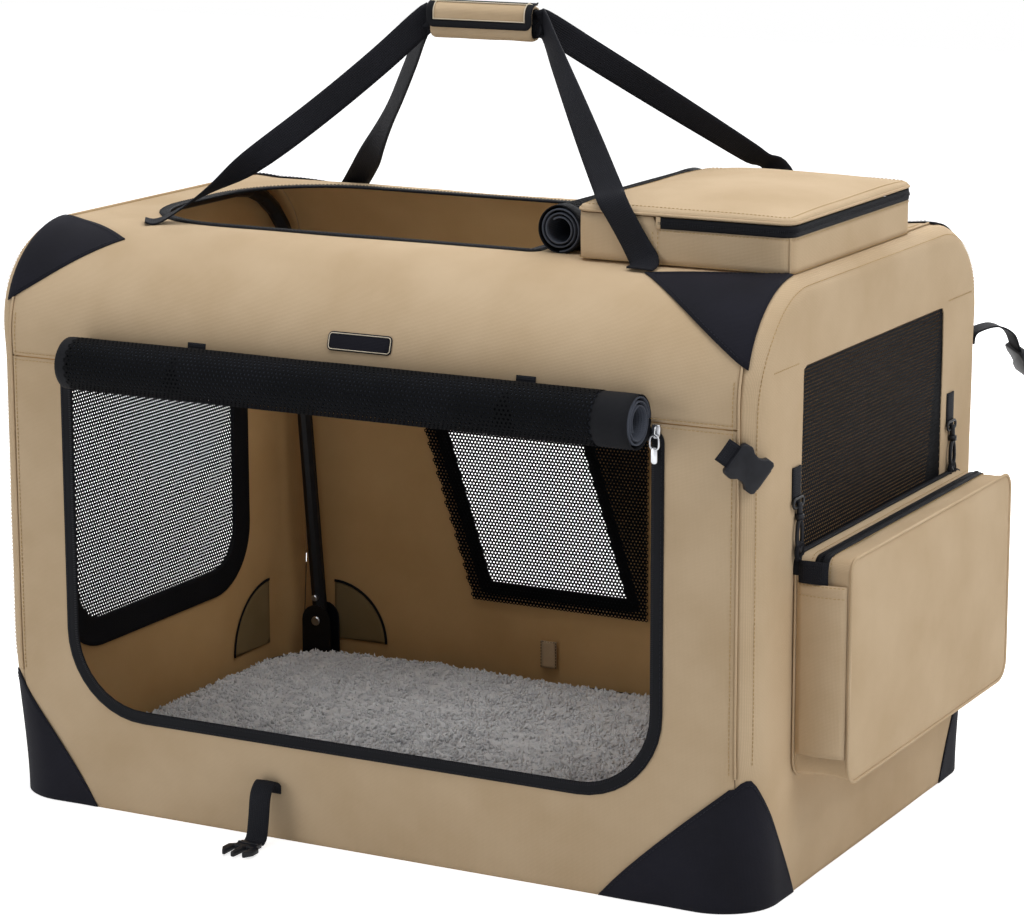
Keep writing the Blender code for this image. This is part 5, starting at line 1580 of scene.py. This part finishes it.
# %% Zip slider
body_shape = [(-0.0040, 0.007), (0.0040, 0.007), (0.0050, 0.003), (0.0042, -0.003), (0.0030, -0.007), (-0.0030, -0.007),
              (-0.0042, -0.003), (-0.0050, 0.003)]
slider = slab("slider_body", body_shape, 0.0034, 0.0008, bright_steel)
arch = [(0, 0.005, 0.001), (0, 0.004, 0.0036), (0, 0, 0.0044), (0, -0.004, 0.0036), (0, -0.005, 0.001)]
bridge = piping("bridge", arch, 0.0010, bright_steel)
ring_path = [(u, v - 0.0105, 0.0042 + 0.0008 * math.sin(u * 300))
             for u, v in loop_of(0.0105, 0.0150, 0.0050, 6)]
ring = piping("ring", ring_path, 0.0011, bright_steel, closed=True)
tail_line = rounded((-0.0034, -0.0320), (0.0034, -0.0150), [0.0030] * 4, 4)
tail = slab("tail", tail_line, 0.0018, 0.0005, bright_steel)
shifted(tail, 0, 0, 0.0044)
slider = joined("doorway_zip_slider", [slider, bridge, ring, tail])
place = Vector((0.3465, -0.3083, 0.4920))
put(slider, place, Vector((1, 0, 0)), Vector((0, 0, 1)))
fold_flat(slider, slot="bright_steel", nodes=["zip_slider"])

# %% Label
label_line = evenly(rounded((-0.033, 0.5400), (0.043, 0.5590), [0.005] * 4, 4), 0.003)


def label_cloth(outline, lift, material, name):
    centre = (0.005, 0.5495)

    def flat(u, v):
        i = round(u * len(outline)) % len(outline)
        return tuple(outline[i][k] + (centre[k] - outline[i][k]) * v for k in (0, 1))

    cloth = grid_sheet(name, len(outline), 4, flat, lambda a, b: on_strip(a, arc_at(b), lift), material,
                       ring=True)
    face_towards(cloth, outwards)
    thicken(cloth, 0.0010)
    return cloth


def arc_at(z):
    """The distance along the strip at which it reaches height z."""
    return z if z <= STRAIGHT else STRAIGHT + TOP_R * math.asin((z - STRAIGHT) / TOP_R)


patch = label_cloth(label_line, 0.0020, black_oxford, "blank_label_cloth")
fold_flat(patch, slot="black_cloth", nodes=["blank_label"])
edge_path = [on_strip(x, arc_at(z), 0.0022) for x, z in offset(label_line, 0.0016)]
line = piping("blank_label_edge", edge_path, 0.0005, cream, closed=True)
fold_flat(line, slot="black_cloth")


# %% [markdown]
# Inside, olive quarter-round patches strengthen the rear corners where the hoops stand. The rear window
# is bound with tape on this side too. A small loop on the rear wall holds the mat.

# %% Inner patches, the rear window's inner binding and the mat loop
def to_rear_inside(x, z, lift=0.0):
    return on_strip(x, LONG - z, -0.0024 - lift)


def to_end_inside(side):
    return lambda y, z, lift=0.0: on_end(side, y, z, -0.0024 - lift)


def inwards(c):
    return Vector((0, 0, 0.3)) - c


def fan(name, centre, radius, first, last, on, material, lift=0.0004):
    """A flat quarter-round patch."""
    def flat(u, v):
        t = math.radians(first + (last - first) * u)
        r = max(radius * v, 0.0008)
        return centre[0] + r * math.cos(t), centre[1] + r * math.sin(t)

    patch = grid_sheet(name, 24, 10, flat, lambda a, b: on(a, b, lift), material)
    face_towards(patch, inwards)
    thicken(patch, 0.0010)
    return patch


# The corner patches are set darker than the wall: partly their own olive tone, partly painted shade of the low inner
# corners.
olive_lining_painted_shade = woven("polyester_lining_olive_painted_shade", "#8A7752", "#978360", 0.0008, 0.0002)
for side, word in ((-1, "left"), (1, "right")):
    spans = ((to_rear_inside, side * 0.392, "rear", 0.074 if side < 0 else 0.06),
             (to_end_inside(side), 0.243, "end", 0.082))
    for on, u, where, r in spans:
        towards = -side if where == "rear" else -1
        first, last = (0, 90) if towards > 0 else (90, 180)
        patch = fan(f"corner_patch_{word}_{where}", (u, 0.040), r, first, last, on, olive_lining_painted_shade)
        fold_flat(patch)
        turns = [math.radians(first + 90 * i / 20) for i in range(21)]
        arc_line = [(u + r * math.cos(t), 0.040 + r * math.sin(t)) for t in turns]
        edge = tape(f"corner_patch_edge_{word}_{where}", arc_line, 0.0035, on, black_tape, 0.0012, closed=False,
                    crown=0.0004, sheet=0.0008, outside=inwards)
        fold_flat(edge)

edge = tape("rear_window_inner_binding", evenly(rear_outline(0.001), 0.006), 0.011, to_rear_inside,
            black_tape, 0.0010, outside=inwards)
fold_flat(edge, slot="black_cloth")
loop = tape("mat_loop", straight((-0.088, 0.040), (-0.088, 0.074), 0.003), 0.022, to_rear_inside,
            tan_oxford, 0.0030, closed=False, crown=0.0012, outside=inwards)
fold_flat(loop)
loop_line = [(-0.098, 0.04), (-0.098, 0.073), (-0.078, 0.073), (-0.078, 0.04)]
rows = [(loop_line, lambda x, z, lift: to_rear_inside(x, z, 0.0036 + lift), 0, False)]
fold_flat(bars("mat_loop_stitches", rows, black_thread, pitch=0.0036, length=0.0024))
for word, s in (("front", SEAM_Z), ("rear", LONG - SEAM_Z)):
    seam_tape = tape(f"inner_seam_tape_{word}", straight((-0.436, s), (0.436, s), 0.02), 0.014,
                     lambda x, run, lift=0.0: on_strip(x, run, -0.0024 - lift), tan_inside_painted_light, 0.0004, closed=False,
                     outside=inwards)
    fold_flat(seam_tape)

# %% [markdown]
# ## Camera, floor and light
# The camera's place and lens come from fitting the photograph's viewing angle. The floor is plain and
# pale: the camera, glossy and clear rays see it glow white, and it still catches the crate's shadow. Its
# glow grows with distance from the crate, so that the far floor is white as well.

# %% Camera
camera = bpy.data.objects.new("camera", bpy.data.cameras.new("camera"))
bpy.context.collection.objects.link(camera)
camera.data.lens = 121.6
camera.data.sensor_width = 36
camera.location = (1.7849, -3.3130, 1.1979)
aim = (Vector((0.0215, 0, 0.3705)) - camera.location).to_track_quat("-Z", "Y").to_matrix()
camera.rotation_euler = (aim @ Matrix.Rotation(math.radians(-0.11), 3, "Z")).to_euler()
bpy.context.scene.camera = camera

# %% Floor and world
def seen_white(tree):
    """1 for the camera, glossy and clear rays, and 0 for the rays that carry light."""
    ray = node(tree, "LightPath")
    seen = node(tree, "Math", [(0, ray.outputs["Is Camera Ray"]), (1, ray.outputs["Is Glossy Ray"])],
                operation="MAXIMUM")
    clear = node(tree, "Math", [(0, seen.outputs[0]), (1, ray.outputs["Is Transmission Ray"])],
                 operation="MAXIMUM")
    return clear.outputs[0]


bpy.ops.mesh.primitive_plane_add(size=16)
studio, tree, principled = finish("studio_floor_pale", Roughness=1.0)
floor = new_piece(bpy.context.object, "floor", studio, smooth=False)
principled.inputs["Base Color"].default_value = linear("#F2F2F2")
principled.inputs["Emission Color"].default_value = (1, 1, 1, 1)
reach = node(tree, "VectorMath", [(0, node(tree, "TexCoord").outputs["Object"])], operation="LENGTH")
far = node(tree, "MapRange", [("Value", reach.outputs["Value"])], From_Min=0.6, From_Max=1.6, To_Min=0.70,
           To_Max=1.0)
glow = node(tree, "Math", [(0, seen_white(tree)), (1, far.outputs[0])], operation="MULTIPLY")
tree.links.new(glow.outputs[0], principled.inputs["Emission Strength"])

world = bpy.data.worlds.new("studio")
bpy.context.scene.world = world
world.use_nodes = True
tree = world.node_tree
strength = node(tree, "MapRange", [("Value", seen_white(tree))], To_Min=0.18, To_Max=1.0)
background = tree.nodes["Background"]
background.inputs["Color"].default_value = (1, 1, 1, 1)
tree.links.new(strength.outputs[0], background.inputs["Strength"])

# %% Lights
for name, place, size, power in (("right", (2.6, -0.6, 3.2), 2.0, 50), ("top", (-0.2, -0.2, 3.6), 2.4, 60),
                                 ("left", (-2.2, -3.0, 0.9), 2.0, 30), ("low_right", (3.4, -0.5, 1.8), 2.0, 15),
                                 ("back", (0.2, 3.2, 2.2), 2.2, 55)):
    lamp = bpy.data.objects.new(name, bpy.data.lights.new(name, "AREA"))
    bpy.context.collection.objects.link(lamp)
    lamp.data.size, lamp.data.energy = size, power
    lamp.location = place
    lamp.rotation_euler = (Vector((0, 0, 0.3)) - lamp.location).to_track_quat("-Z", "Y").to_euler()
bpy.context.scene.view_settings.view_transform = "Standard"
